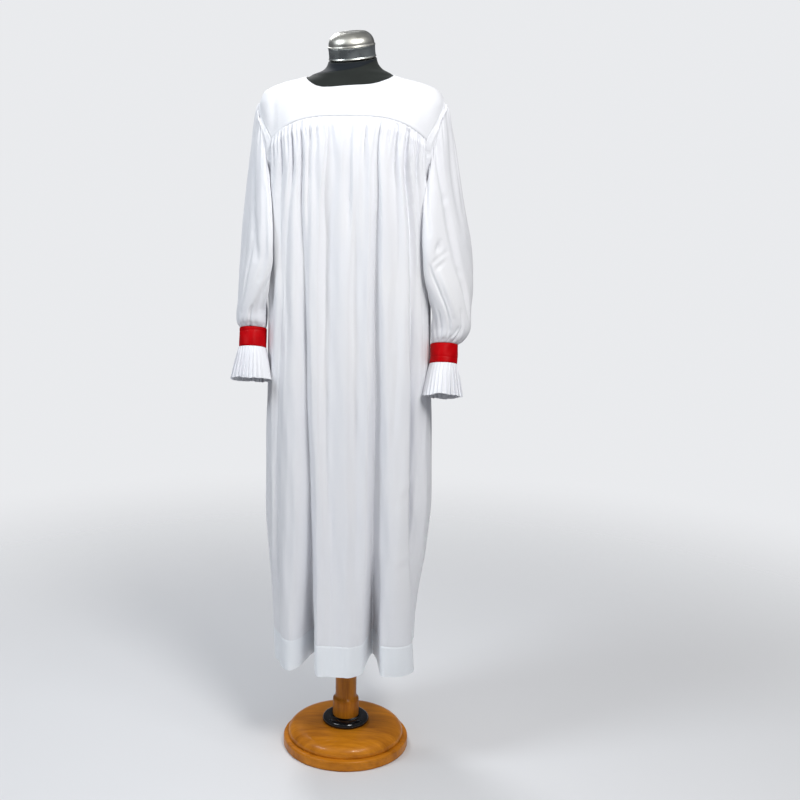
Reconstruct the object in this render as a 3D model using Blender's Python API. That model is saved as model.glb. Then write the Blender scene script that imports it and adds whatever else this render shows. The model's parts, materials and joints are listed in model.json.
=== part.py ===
"""A bishop's rochet on a limbless dress form with a turned wooden stand.

Metres, +Z up. The front faces -Y, and the wearer's left is at +X, on the right as seen from the front.
In the names of the sleeves, wristbands and ruffles, left and right are as seen from the front.
The origin is at the centre of the base's underside.
"""

import math

import bpy
import numpy as np

# Driving dimensions of the cloth, in metres
CLOTH = 0.002
SEAM_GAP = 0.0005
FORM_GAP = 0.0027
HEM_Z = 0.242
GATHERS = 24
GATHER_RISE = 0.0026
GATHER_FULL_AT = 0.035
GATHER_FADES_BY = 0.34
VALLEY_FLOOR = 0.004
FLOOR_FOR_DEPTH = 0.10

# The neck hole, seen from above
NECK_SHIFT = -0.003
NECK_SKEW = 0.08
COLLAR_Z = 1.612
NECK_HALF_WIDTH = 0.0965
NECK_FRONT = 0.0755
NECK_BACK = 0.0760
NECK_SQUARENESS = 2.9

# The yoke's lower seam is an upturned U: highest at the centre, lowest at the armhole
SEAM_TOP_Z = 1.5115
SEAM_DROP = 0.046
SEAM_REACH = 0.168
SEAM_POWER = 3.4

# The armhole, from the shoulder point past the yoke's corner to the underarm
SHOULDER_Z = 1.557
CORNER_Z = 1.466
UNDERARM_Z = 1.330
ARMHOLE_SWEEP = math.radians(33)
ARMHOLE_CORNER = math.radians(85)
ARMHOLE_NARROWING = 0.7

# The sleeves and cuffs
SLEEVE_OFF = 0.0009
SLEEVE_CLEAR = 0.0065
SLEEVE_GATHERS = 14
HEAD_GATHER_RISE = 0.0030
WRIST_GATHER_RISE = 0.0035
USUAL_FORWARD = 0.0450
BAND_SIDES = 28
BAND_RADIUS = 0.0310
BAND_HEIGHT = 0.0450
CUFF_TILT = math.radians(17)
RUFFLE_LENGTH = 0.0735
RUFFLE_MOUTH = 0.0465
PLEATS = 28
PLEAT_RISE = 0.0042

# The form and the stand
FORM_SIDES = 32
CAP_TILT = math.radians(3.5)
CAP_BAND = 0.0265
CAP_DOME = 0.0330
CAP_RADIUS = 0.0533
CAP_TOP_RADIUS = 0.0345
PLATE_RADIUS = 0.1540
PLATE_HEIGHT = 0.0260
DOME_RADIUS = 0.1420
DOME_TOP_Z = 0.0585
RING_RADIUS = 0.0575
RING_TOP_Z = 0.0750
COLLAR_RADIUS = 0.0320
COLLAR_TOP_Z = 0.1180
POLE_RADIUS = 0.02575
TOUCH_GAP = 0.0003


def table(columns, *rows):
    """One array for each named column."""
    return dict(zip(columns.split(), (np.array(c, float) for c in zip(*rows))))


# The form, level by level. overhang is how far the cloth stands out past the form's side.
FORM = table(
    "z half_width front back squareness overhang",
    (0.835, 0.152, 0.084, 0.094, 2.2, 0),
    (0.850, 0.166, 0.096, 0.106, 2.2, 0),
    (0.920, 0.171, 0.103, 0.108, 2.2, 0),
    (1.000, 0.160, 0.101, 0.098, 2.2, 0),
    (1.100, 0.141, 0.097, 0.086, 2.2, 0),
    (1.180, 0.140, 0.100, 0.086, 2.2, 0),
    (1.280, 0.154, 0.112, 0.097, 2.3, 0),
    (1.380, 0.167, 0.118, 0.107, 2.4, 0),
    (1.450, 0.174, 0.116, 0.112, 2.5, 0.0180),
    (1.500, 0.179, 0.108, 0.112, 2.6, 0.0190),
    (1.540, 0.1825, 0.093, 0.107, 2.6, 0.0200),
    (1.565, 0.182, 0.080, 0.100, 2.5, 0.0130),
    (1.579, 0.173, 0.073, 0.092, 2.3, 0.0015),
    (1.588, 0.148, 0.069, 0.084, 2.15, 0),
    (1.596, 0.117, 0.0655, 0.077, 2.05, 0),
    (1.602, 0.098, 0.0635, 0.072, 2.0, 0),
    (1.609, 0.086, 0.0615, 0.067, 2.0, 0),
    (1.618, 0.067, 0.0590, 0.061, 2.0, 0),
    (1.628, 0.0575, 0.0560, 0.057, 2.0, 0),
    (1.640, 0.0530, 0.0530, 0.053, 2.0, 0),
)

# The hollow inside the hanging cloth, level by level, below the chest where it leaves the form.
HANGING = table(
    "z half_width front back squareness shift",
    (0.242, 0.162, 0.160, 0.172, 2.9, -0.006),
    (0.400, 0.173, 0.155, 0.166, 2.7, -0.003),
    (0.520, 0.187, 0.151, 0.160, 2.5, 0.001),
    (0.640, 0.194, 0.147, 0.156, 2.4, 0.003),
    (0.800, 0.191, 0.143, 0.150, 2.3, 0.002),
    (1.000, 0.185, 0.138, 0.142, 2.3, 0.001),
    (1.200, 0.184, 0.132, 0.133, 2.35, 0),
    (1.330, 0.187, 0.127, 0.125, 2.4, 0),
    (1.400, 0.189, 0.123, 0.119, 2.45, 0),
)

# The lasting folds of the front: a valley where depth is positive, a lobe where it is negative.
# gathers counts the small gathers between this fold and the next valley to its right.
FRONT_FOLDS = table(
    "x_chest x_hip x_hem wide_chest wide_hip wide_hem deep_chest deep_hip deep_hem gathers",
    (-0.149, -0.154, -0.148, 0.020, 0.026, 0.036, 0.006, 0.012, 0.020, 2),
    (-0.124, -0.118, -0.106, 0.020, 0.024, 0.036, 0.005, 0.006, 0.040, 2),
    (-0.101, -0.086, -0.078, 0.024, 0.034, 0.026, 0.010, 0.028, 0.145, 3),
    (-0.042, -0.034, -0.014, 0.024, 0.034, 0.034, 0.010, 0.016, 0.008, 3),
    (0.006, 0.012, 0.020, 0.020, 0.026, 0.024, 0.009, 0.008, 0.006, 2),
    (0.062, 0.070, 0.070, 0.024, 0.032, 0.027, 0.012, 0.030, 0.138, 3),
    (0.109, 0.116, 0.106, 0.022, 0.028, 0.028, 0.010, 0.018, 0.010, 3),
    (0.150, 0.156, 0.143, 0.018, 0.024, 0.022, 0.007, 0.012, 0.008, 2),
)
FRONT_LOBES = table(
    "x_chest x_hip x_hem wide_chest wide_hip wide_hem deep_chest deep_hip deep_hem",
    (0.140, 0.140, 0.140, 0.060, 0.060, 0.060, 0, -0.004, -0.026),
)
BACK_FOLDS = table(
    "x_chest x_hip x_hem wide_chest wide_hip wide_hem deep_chest deep_hip deep_hem gathers",
    (-0.146, -0.150, -0.138, 0.020, 0.030, 0.048, 0.007, 0.016, 0.060, 4),
    (-0.094, -0.090, -0.082, 0.024, 0.036, 0.044, 0.009, 0.022, 0.070, 3),
    (-0.044, -0.036, -0.024, 0.024, 0.036, 0.046, 0.009, 0.026, 0.090, 4),
    (0.012, 0.022, 0.034, 0.022, 0.034, 0.044, 0.009, 0.018, 0.060, 3),
    (0.062, 0.076, 0.088, 0.024, 0.038, 0.050, 0.010, 0.028, 0.095, 3),
    (0.118, 0.126, 0.130, 0.020, 0.028, 0.030, 0.008, 0.014, 0.030, 3),
)
BACK_LOBES = table(
    "x_chest x_hip x_hem wide_chest wide_hip wide_hem deep_chest deep_hip deep_hem",
    (0.140, 0.140, 0.138, 0.060, 0.060, 0.060, 0, -0.004, -0.016),
    (-0.150, -0.150, -0.150, 0.060, 0.060, 0.060, 0, -0.004, -0.012),
)
FOLD_LEVELS = {"chest": 1.38, "hip": 0.90, "hem": HEM_Z}

# The sleeves, ring by ring from the armhole: the outer and inner edge, half the depth, how far forward,
# and by how many degrees the oval is turned so that its front lies nearer to the body.
SLEEVE = table(
    "outer_x outer_z inner_x inner_z half_depth forward turn",
    (0.2180, 1.532, 0.1650, 1.318, 0.0800, 0.004, 30),
    (0.2310, 1.480, 0.1600, 1.298, 0.0845, 0.006, 40),
    (0.2435, 1.405, 0.1580, 1.272, 0.0875, 0.009, 44),
    (0.2560, 1.332, 0.1590, 1.240, 0.0885, 0.012, 44),
    (0.2675, 1.264, 0.1610, 1.205, 0.0870, 0.017, 42),
    (0.2715, 1.208, 0.1640, 1.168, 0.0820, 0.022, 38),
    (0.2705, 1.155, 0.1750, 1.132, 0.0740, 0.028, 28),
    (0.2665, 1.110, 0.1860, 1.098, 0.0620, 0.035, 14),
)
WRISTS = {
    "left": {"x": 0.2200, "forward": 0.0530, "z": 1.039, "drop": 0.000, "wider": -0.012, "inner": -0.006},
    "right": {"x": 0.2265, "forward": 0.0440, "z": 1.011, "drop": 0.026, "wider": 0.012, "inner": 0.013},
}
SIDE = {"left": -1, "right": 1}


def rise_rates(knots, values):
    """The slope at each knot of a smooth curve that never overshoots its values."""
    rate = np.diff(values) / np.diff(knots)
    before = rate[:-1]
    after = rate[1:]
    total = before + after
    safe = np.where(np.abs(total) > 1e-12, total, 1.0)
    middle = np.where(before * after > 0, 2 * before * after / safe, 0.0)
    return np.concatenate([rate[:1], middle, rate[-1:]])


def curve(at, knots, values):
    """A smooth curve through the values at the knots, read at one or more places."""
    at = np.clip(np.asarray(at, float), knots[0], knots[-1])
    cell = np.clip(np.searchsorted(knots, at, side="right") - 1, 0, len(knots) - 2)
    span = knots[cell + 1] - knots[cell]
    t = (at - knots[cell]) / span
    slope = rise_rates(knots, values)
    start = values[cell] * (1 + 2 * t) + slope[cell] * span * t
    end = values[cell + 1] * (3 - 2 * t) - slope[cell + 1] * span * (1 - t)
    return start * (1 - t) ** 2 + end * t**2


def ease(t):
    """0 before 0, 1 after 1, and a smooth step between."""
    t = np.clip(t, 0, 1)
    return t * t * (3 - 2 * t)


def cloth_table():
    """The inner face of the cloth, level by level: the hanging part, then what rests on the form."""
    upper = FORM["z"] > HANGING["z"][-1]
    upper &= FORM["z"] < COLLAR_Z
    made = {
        "z": np.concatenate([HANGING["z"], FORM["z"][upper]]),
        "squareness": np.concatenate([HANGING["squareness"], FORM["squareness"][upper]]),
    }
    wide = FORM["half_width"] + FORM["overhang"] + FORM_GAP
    made["half_width"] = np.concatenate([HANGING["half_width"], wide[upper]])
    made["shift"] = np.concatenate([HANGING["shift"], 0 * FORM["z"][upper]])
    for side in ("front", "back"):
        made[side] = np.concatenate([HANGING[side], FORM[side][upper] + FORM_GAP])
    return made


INSIDE = cloth_table()


def level(shape, name, z):
    return curve(z, shape["z"], shape[name])


def outline(shape, z, angle, facing=1):
    """Points on a level's outline. The angle runs from the centre, 0, to the wearer's left side, 90 degrees."""
    power = 2 / level(shape, "squareness", z)
    side = np.sign(np.sin(angle)) * np.abs(np.sin(angle)) ** power
    depth = np.abs(np.cos(angle)) ** power
    x = level(shape, "half_width", z) * side + level(shape, "shift", z)
    y = -facing * level(shape, "front" if facing > 0 else "back", z) * depth
    return np.stack([x, y, z + 0 * x], -1)


def angle_of(shape, z, x):
    """The outline's angle where it passes the width x."""
    x = x - level(shape, "shift", z)
    share = np.clip(np.abs(x) / level(shape, "half_width", z), 0, 1)
    return np.sign(x) * np.arcsin(share ** (level(shape, "squareness", z) / 2))


def seam_z(x):
    return SEAM_TOP_Z - SEAM_DROP * (np.abs(x) / SEAM_REACH) ** SEAM_POWER


def armhole(turn):
    """(angle, z) on the armhole, from the shoulder point, 0, past the yoke's corner to the underarm, pi."""
    turn = np.asarray(turn, float)
    rise = np.cos(np.minimum(turn / ARMHOLE_CORNER, 1) * math.pi / 2)
    fall = np.sin(np.clip((turn - ARMHOLE_CORNER) / (math.pi - ARMHOLE_CORNER), 0, 1) * math.pi / 2)
    z = CORNER_Z + (SHOULDER_Z - CORNER_Z) * rise - (CORNER_Z - UNDERARM_Z) * fall
    above = np.sqrt(1 - np.minimum(rise, 1) ** 2) * (1 - ARMHOLE_NARROWING * rise)
    below = np.sqrt(1 - np.minimum(fall, 1) ** 2)
    sweep = ARMHOLE_SWEEP * np.where(turn < ARMHOLE_CORNER, above, below)
    return math.pi / 2 - sweep, z


def seam_places(angles):
    """The height of the yoke's lower seam at each angle."""
    z = np.full(np.shape(angles), SEAM_TOP_Z)
    for _ in range(12):
        z = seam_z(outline(INSIDE, z, angles)[..., 0])
    return z


def neck_places(turns, facing):
    """(angle, z) of the neck hole, an oval seen from above that lies on the shoulders."""
    power = 2 / NECK_SQUARENESS
    x = NECK_HALF_WIDTH * np.sign(np.sin(turns)) * np.abs(np.sin(turns)) ** power
    reach = NECK_FRONT if facing > 0 else NECK_BACK
    depth = reach * np.abs(np.cos(turns)) ** power * (1 - NECK_SKEW * x / NECK_HALF_WIDTH)
    x = x + NECK_SHIFT
    low = np.full(len(turns), 1.50)
    high = np.full(len(turns), INSIDE["z"][-1])
    side = "front" if facing > 0 else "back"
    for _ in range(40):
        middle = (low + high) / 2
        square = level(INSIDE, "squareness", middle)
        across = (np.abs(x) / level(INSIDE, "half_width", middle)) ** square
        along = (depth / level(INSIDE, side, middle)) ** square
        inside = across + along < 1
        low = np.where(inside, middle, low)
        high = np.where(inside, high, middle)
    z = (low + high) / 2
    return angle_of(INSIDE, z, x), z


def facing_out(grid):
    """The outward direction at each point of a grid whose rows run downwards and columns to +X on the front."""
    down = np.gradient(grid, axis=0)
    across = np.gradient(grid, axis=1)
    out = np.cross(down, across)
    return out / np.linalg.norm(out, axis=-1, keepdims=True)


def new_material(name, colour, roughness, metallic=0.0):
    material = bpy.data.materials.new(name)
    material.use_nodes = True
    shader = material.node_tree.nodes["Principled BSDF"]
    shader.inputs["Base Color"].default_value = (*colour, 1)
    shader.inputs["Roughness"].default_value = roughness
    shader.inputs["Metallic"].default_value = metallic
    return material


def new_object(name, points, faces, material):
    mesh = bpy.data.meshes.new(name)
    mesh.from_pydata([tuple(map(float, p)) for p in points], [], faces)
    mesh.shade_smooth()
    mesh.materials.append(material)
    thing = bpy.data.objects.new(name, mesh)
    bpy.context.scene.collection.objects.link(thing)
    return thing


def sheet(name, grid, material, closed=False, flip=False):
    """A cloth wall whose outer face is the grid. closed joins its last column to its first."""
    rows, columns = grid.shape[:2]
    faces = []
    for row in range(rows - 1):
        for column in range(columns if closed else columns - 1):
            after = (column + 1) % columns
            corners = [(row, column), (row + 1, column), (row + 1, after), (row, after)]
            faces.append([r * columns + c for r, c in (corners[::-1] if flip else corners)])
    thing = new_object(name, grid.reshape(-1, 3), faces, material)
    wall = thing.modifiers.new("wall", "SOLIDIFY")
    wall.thickness = CLOTH
    wall.offset = -1
    return thing


def turned(name, rings, sides, material):
    """A closed body from rings of points, listed upwards, with a flat face at each end."""
    points = np.concatenate(rings)
    faces = []
    for row in range(len(rings) - 1):
        for column in range(sides):
            after = (column + 1) % sides
            faces.append(
                [row * sides + column, row * sides + after, (row + 1) * sides + after, (row + 1) * sides + column]
            )
    faces.append(list(range(sides))[::-1])
    top = (len(rings) - 1) * sides
    faces.append(list(range(top, top + sides)))
    thing = new_object(name, points, faces, material)
    thing.data.set_sharp_from_angle(angle=math.radians(40))
    return thing


def circle(radius, z, sides):
    turn = np.arange(sides) * 2 * math.pi / sides
    return np.stack([radius * np.cos(turn), radius * np.sin(turn), z + 0 * turn], -1)


def fold_at(folds, name, z):
    """A fold's value at each height, read from its chest, hip and hem values. The last axis is the fold."""
    levels = np.array([FOLD_LEVELS["hem"], FOLD_LEVELS["hip"], FOLD_LEVELS["chest"]])
    z = np.asarray(z, float)
    values = zip(folds[name + "_hem"], folds[name + "_hip"], folds[name + "_chest"])
    return np.stack([curve(z, levels, np.array(v)) for v in values], -1)


def clear_of_form(points, gap):
    """Pushes points that lie inside the form, or nearer to it than the gap, straight out from the axis."""
    z = points[..., 2]
    side = np.where(points[..., 1] < 0, level(FORM, "front", z), level(FORM, "back", z)) + gap
    square = level(FORM, "squareness", z)
    across = (np.abs(points[..., 0]) / (level(FORM, "half_width", z) + gap)) ** square
    along = (np.abs(points[..., 1]) / side) ** square
    share = (across + along) ** (1 / square)
    push = np.where((share < 1) & (z > FORM["z"][0]), 1 / np.maximum(share, 0.2), 1.0)
    out = points.copy()
    out[..., :2] *= push[..., None]
    return out


class Panel:
    """The front or back of the body: a gathered sheet from the yoke and armholes to the hem."""

    def __init__(self, folds, lobes, facing, steps, side_steps):
        self.folds = folds
        self.lobes = lobes
        self.facing = facing
        self.steps = steps
        self.side_steps = side_steps
        self.gathers = np.arange(GATHERS * steps + 1) / steps
        self.marks = np.concatenate([[0], GATHERS - np.cumsum(folds["gathers"][::-1])[::-1], [GATHERS]])

    def tops(self):
        """(angle, z, gather count) of each column's top, from one underarm round to the other."""
        turns = np.linspace(math.pi, ARMHOLE_CORNER, self.side_steps + 1)[:-1]
        side_angle, side_z = armhole(turns)
        corner = armhole(ARMHOLE_CORNER)[0]
        middle = corner * (2 * self.gathers / GATHERS - 1)
        angle = np.concatenate([-side_angle, middle, side_angle[::-1]])
        z = np.concatenate([side_z, seam_places(middle), side_z[::-1]])
        ends = np.linspace(-1, 0, self.side_steps + 1)[:-1] * 2
        count = np.concatenate([ends, self.gathers, GATHERS - ends[::-1]])
        return angle, z, count

    def lasting_angle(self, z, count):
        """Where a column runs once the folds have formed: crowded towards the deep valleys."""
        places = angle_of(INSIDE, z[..., None], fold_at(self.folds, "x", z))
        depth = fold_at(self.folds, "deep", z)
        edge = np.full(z.shape + (1,), math.pi / 2)
        places = np.concatenate([-edge, places, edge], -1)
        crowd = np.concatenate([1 + 0 * edge, 1 / (1 + depth / 0.02), 1 + 0 * edge], -1)
        marks = self.marks.copy()
        marks[0] = -2
        marks[-1] = GATHERS + 2
        cell = np.clip(np.searchsorted(marks, count, side="right") - 1, 0, len(marks) - 2)
        t = (count - marks[cell]) / (marks[cell + 1] - marks[cell])
        cell = np.broadcast_to(cell, z.shape)[..., None]
        start = np.take_along_axis(places, cell, -1)[..., 0]
        end = np.take_along_axis(places, cell + 1, -1)[..., 0]
        slow = np.take_along_axis(crowd, cell, -1)[..., 0]
        late = np.take_along_axis(crowd, cell + 1, -1)[..., 0]
        share = (t**3 - 2 * t**2 + t) * slow + (3 * t**2 - 2 * t**3) + (t**3 - t**2) * late
        return start + (end - start) * share

    def dips(self, bare, z):
        """How far the lasting folds pull the cloth in at each point."""
        total = np.zeros(z.shape)
        for folds in (self.folds, self.lobes):
            place = fold_at(folds, "x", z)
            wide = fold_at(folds, "wide", z)
            deep = fold_at(folds, "deep", z)
            for k in range(place.shape[-1]):
                mark = outline(INSIDE, z, angle_of(INSIDE, z, place[..., k]), self.facing)
                off = np.linalg.norm(bare - mark, axis=-1)
                floor = VALLEY_FLOOR + FLOOR_FOR_DEPTH * np.abs(deep[..., k])
                off = np.sqrt(off**2 + floor**2) - floor
                near = np.clip(1 - off / wide[..., k], 0, 1)
                shape = np.where(deep[..., k] > 0, near**2, near**2 * (3 - 2 * near))
                total += deep[..., k] * shape
        return total

    def grid(self, shares):
        angle, top, count = self.tops()
        top = top - SEAM_GAP
        z = top + (HEM_Z - top) * np.asarray(shares)[:, None]
        below = top - z
        settled = ease((below - 0.01) / 0.32)
        angle = angle + (self.lasting_angle(z, count + 0 * z) - angle) * settled
        bare = outline(INSIDE, z, angle, self.facing)
        inward = -facing_out(bare) * self.facing
        inward[..., 2] = 0
        inward /= np.linalg.norm(inward, axis=-1, keepdims=True)
        swell = 0.55 + 0.45 * ease(below / GATHER_FULL_AT)
        fade = 1 - ease((below - GATHER_FULL_AT) / (GATHER_FADES_BY - GATHER_FULL_AT))
        within = ease(np.minimum(count, GATHERS - count) + 0.5)
        wave = (1 - np.cos(2 * math.pi * count)) * GATHER_RISE * within
        rise = CLOTH + wave * swell * fade
        dip = self.dips(bare, z) * ease((below - 0.02) / 0.16)
        ahead = inward.copy()
        ahead[..., 0] = inward[..., 0] ** 3
        ahead /= np.linalg.norm(ahead, axis=-1, keepdims=True)
        points = bare + ahead * dip[..., None] - inward * rise[..., None]
        points = clear_of_form(points, CLOTH + FORM_GAP)
        edge = self.facing * SEAM_GAP / 2
        points[:, 0, 1] = -edge
        points[:, -1, 1] = -edge
        return points


def body_panels(white):
    shares = np.array([0, 0.012, 0.03, 0.06, 0.11, 0.18, 0.28, 0.40, 0.53, 0.66, 0.79, 0.90, 1.0])
    for name, folds, lobes, facing in (
        ("body_front", FRONT_FOLDS, FRONT_LOBES, 1),
        ("body_back", BACK_FOLDS, BACK_LOBES, -1),
    ):
        grid = Panel(folds, lobes, facing, steps=2, side_steps=4).grid(shares)
        sheet(name, grid, white, flip=facing < 0)


def yoke_grid(facing, across, side, rows):
    """From the neck hole to the gathered seam and the armholes. Columns run from one shoulder to the other."""
    corner_angle = armhole(ARMHOLE_CORNER)[0]
    middle = np.linspace(-corner_angle, corner_angle, across + 1)
    turns = np.linspace(0, ARMHOLE_CORNER, side + 1)[:-1]
    arm_angle, arm_z = armhole(turns)
    angle = np.concatenate([-arm_angle, middle, arm_angle[::-1]])
    z = np.concatenate([arm_z, seam_places(middle), arm_z[::-1]])
    neck_turn = np.linspace(-math.pi / 2, math.pi / 2, len(angle))
    neck_angle, neck_z = neck_places(neck_turn, facing)
    heights = INSIDE["z"]
    steps = sum(np.diff(INSIDE[name]) ** 2 for name in ("z", "half_width", "front"))
    girth = np.concatenate([[0], np.cumsum(np.sqrt(steps))])
    share = np.linspace(0, 1, rows)[:, None]
    reach = np.interp(neck_z, heights, girth) * (1 - share) + np.interp(z, heights, girth) * share
    level_z = np.interp(reach, girth, heights)
    turn = neck_angle * (1 - share) + angle * share
    bare = outline(INSIDE, level_z, turn, facing)
    grid = bare + facing_out(bare) * facing * CLOTH
    edge = facing * SEAM_GAP / 2
    grid[:, 0, 1] = -edge
    grid[:, -1, 1] = -edge
    return grid


def yokes(white):
    for name, facing in (("yoke_front", 1), ("yoke_back", -1)):
        sheet(name, yoke_grid(facing, across=16, side=4, rows=11), white, flip=facing < 0)


def oval(outer, inner, half_depth, forward, turns, yaw):
    """A ring of a sleeve on the wearer's left: turn 0 is its outer edge, and a quarter turn is its front."""
    outer = np.array(outer)
    inner = np.array(inner)
    middle = (outer + inner) / 2
    reach = (outer - inner) / 2
    x = middle[0] + reach[0] * np.cos(turns + yaw)
    z = middle[1] + reach[1] * np.cos(turns)
    y = -forward - half_depth * np.sin(turns)
    return np.stack([x, y, z], -1)


def cuff_ring(wrist, down, radius, turns):
    """A ring round the wrist's axis, which leans so that the cuff's mouth looks forward and down."""
    x = wrist["x"] + radius * np.cos(turns)
    along = np.array([0, -math.sin(CUFF_TILT), -math.cos(CUFF_TILT)])
    front = np.array([0, -math.cos(CUFF_TILT), math.sin(CUFF_TILT)])
    start = np.array([0, -wrist["forward"], wrist["z"]])
    ring = start + down * along + (radius * np.sin(turns))[..., None] * front
    ring[..., 0] = x
    return ring


def sleeve_grid(side, columns):
    """Rings from the armhole to the wristband, for the wearer's left; the other side is its mirror image."""
    wrist = WRISTS[side]
    turns = np.arange(columns) * 2 * math.pi / columns
    half = np.where(turns <= math.pi, turns, 2 * math.pi - turns)
    front = np.where(turns <= math.pi, 1, -1)
    angle, z = armhole(half)
    ahead = outline(INSIDE, z, angle, 1)
    behind = outline(INSIDE, z, angle, -1)
    loop = np.where(front[:, None] > 0, ahead, behind)
    loop[np.abs(np.sin(turns)) < 1e-9, 1] = 0
    head = loop.copy()
    head[:, 0] += CLOTH + SLEEVE_OFF
    collar = head.copy()
    collar[:, 0] += 0.006
    collar[:, 2] -= 0.004 * np.cos(turns)
    rings = [head, collar]
    for k in range(len(SLEEVE["outer_x"])):
        row = {name: SLEEVE[name][k] for name in SLEEVE}
        low = ease((k - 1) / 5)
        lower = wrist["drop"] * k / (len(SLEEVE["outer_x"]) - 1)
        outer = (row["outer_x"] + wrist["wider"] * low, row["outer_z"] - lower)
        inner = (row["inner_x"] + wrist["inner"] * low, row["inner_z"] - lower)
        shift = (wrist["forward"] - USUAL_FORWARD) * low
        yaw = math.radians(row["turn"])
        ring = oval(outer, inner, row["half_depth"], row["forward"] + shift, turns, yaw)
        rings.append(ring)
    last = cuff_ring(wrist, 0.0, BAND_RADIUS, turns)
    neck = cuff_ring(wrist, -0.010, BAND_RADIUS + 0.003, turns)
    puff = cuff_ring(wrist, -0.030, BAND_RADIUS + 0.006, turns)
    puff[:, 0] += 0.002 + wrist["wider"] * 0.2
    puff = 0.35 * rings[-1] + 0.65 * puff
    rings += [puff, neck, last]
    return np.array(rings), turns


def sleeves(white):
    for side, sign in SIDE.items():
        columns = 2 * SLEEVE_GATHERS
        grid, turns = sleeve_grid(side, columns)
        count = len(grid)
        out = np.cross(np.gradient(grid, axis=0), np.roll(grid, -1, 1) - np.roll(grid, 1, 1))
        out /= np.linalg.norm(out, axis=-1, keepdims=True)
        head = np.array([0, 0.7, 1, 0.9, 0.6, 0.35, 0.15] + [0] * (count - 7))
        wrist = np.array([0] * (count - 4) + [0.4, 1, 0.8, 0])
        top = ease((np.cos(turns) + 0.75) / 0.6)
        head_wave = (np.cos(SLEEVE_GATHERS * turns) - 1) * HEAD_GATHER_RISE * top
        wrist_wave = (np.cos(SLEEVE_GATHERS * turns) - 1) * WRIST_GATHER_RISE
        rise = head[:, None] * head_wave + wrist[:, None] * wrist_wave
        grid = grid + out * rise[..., None]
        grid[2:] = clear_of_body(grid[2:], sign)
        grid[..., 0] *= sign
        sheet(f"sleeve_{side}", grid, white, closed=True, flip=sign > 0)


def clear_of_body(points, sign):
    """Pushes a sleeve's points sideways until they stand clear of the body's cloth."""
    z = points[..., 2]
    gap = CLOTH + SLEEVE_CLEAR
    side = np.where(points[..., 1] < 0, level(INSIDE, "front", z), level(INSIDE, "back", z)) + gap
    square = level(INSIDE, "squareness", z)
    along = np.clip(np.abs(points[..., 1]) / side, 0, 1) ** square
    least = (level(INSIDE, "half_width", z) + gap) * (1 - along) ** (1 / square)
    least += sign * level(INSIDE, "shift", z)
    out = points.copy()
    out[..., 0] = np.maximum(out[..., 0], least)
    return out


def cuffs(white, red):
    for side, sign in SIDE.items():
        wrist = WRISTS[side]
        turns = np.arange(BAND_SIDES) * 2 * math.pi / BAND_SIDES
        top = SEAM_GAP
        low = BAND_HEIGHT
        band = np.array([cuff_ring(wrist, d, BAND_RADIUS, turns) for d in (top, (top + low) / 2, low)])
        band[..., 0] *= sign
        sheet(f"wristband_{side}", band, red, closed=True, flip=sign > 0)
        columns = 2 * PLEATS
        turns = np.arange(columns) * 2 * math.pi / columns
        pleat = np.where(np.arange(columns) % 2 == 0, 0.0, 1.0) * PLEAT_RISE
        rings = []
        for share, depth in ((0, 0.35), (0.08, 0.45), (0.5, 0.8), (1, 1)):
            down = low + SEAM_GAP + share * RUFFLE_LENGTH
            radius = BAND_RADIUS + (RUFFLE_MOUTH - BAND_RADIUS) * share**0.85
            rings.append(cuff_ring(wrist, down, radius - pleat * depth, turns))
        grid = np.array(rings)
        grid[..., 0] *= sign
        sheet(f"cuff_ruffle_{side}", grid, white, closed=True, flip=sign > 0)


def form(black):
    heights = np.array(
        [0.835, 0.842, 0.850, 0.92, 1.00, 1.10, 1.18, 1.28, 1.38, 1.45, 1.50, 1.54, 1.56, 1.573, 1.582]
        + [1.588, 1.593, 1.597, 1.600, 1.603, 1.6065, 1.611, 1.618, 1.628, 1.640]
    )
    turns = np.arange(FORM_SIDES) * 2 * math.pi / FORM_SIDES
    rings = []
    for z in heights:
        power = 2 / level(FORM, "squareness", z)
        c = np.cos(turns)
        s = np.sin(turns)
        reach = np.where(s < 0, level(FORM, "front", z), level(FORM, "back", z))
        x = level(FORM, "half_width", z) * np.sign(c) * np.abs(c) ** power
        y = reach * np.sign(s) * np.abs(s) ** power
        rings.append(np.stack([x, y, z + 0 * x], -1))
    lean = ease((heights - 1.60) / 0.04)[:, None]
    rings = np.array(rings)
    rings[..., 2] += lean * rings[..., 0] * math.tan(CAP_TILT)
    turned("form_torso", list(rings), FORM_SIDES, black)


def cap(metal):
    """A plain band with a low dome and a flat top, tilted with the neck that it sits on."""
    steps = 6
    profile = [(CAP_RADIUS - 0.001, 0.0), (CAP_RADIUS, 0.0015), (CAP_RADIUS, CAP_BAND - 0.001)]
    profile += [(CAP_RADIUS - 0.002, CAP_BAND)]
    for k in range(1, steps + 1):
        turn = k / steps * math.pi / 2
        wide = CAP_TOP_RADIUS + (CAP_RADIUS - 0.002 - CAP_TOP_RADIUS) * math.cos(turn)
        profile.append((wide, CAP_BAND + CAP_DOME * math.sin(turn)))
    thing = turned("neck_cap", [circle(r, z, FORM_SIDES) for r, z in profile], FORM_SIDES, metal)
    thing.rotation_euler = (0, -CAP_TILT, 0)
    thing.location = (0, 0, FORM["z"][-1] + TOUCH_GAP)


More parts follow.
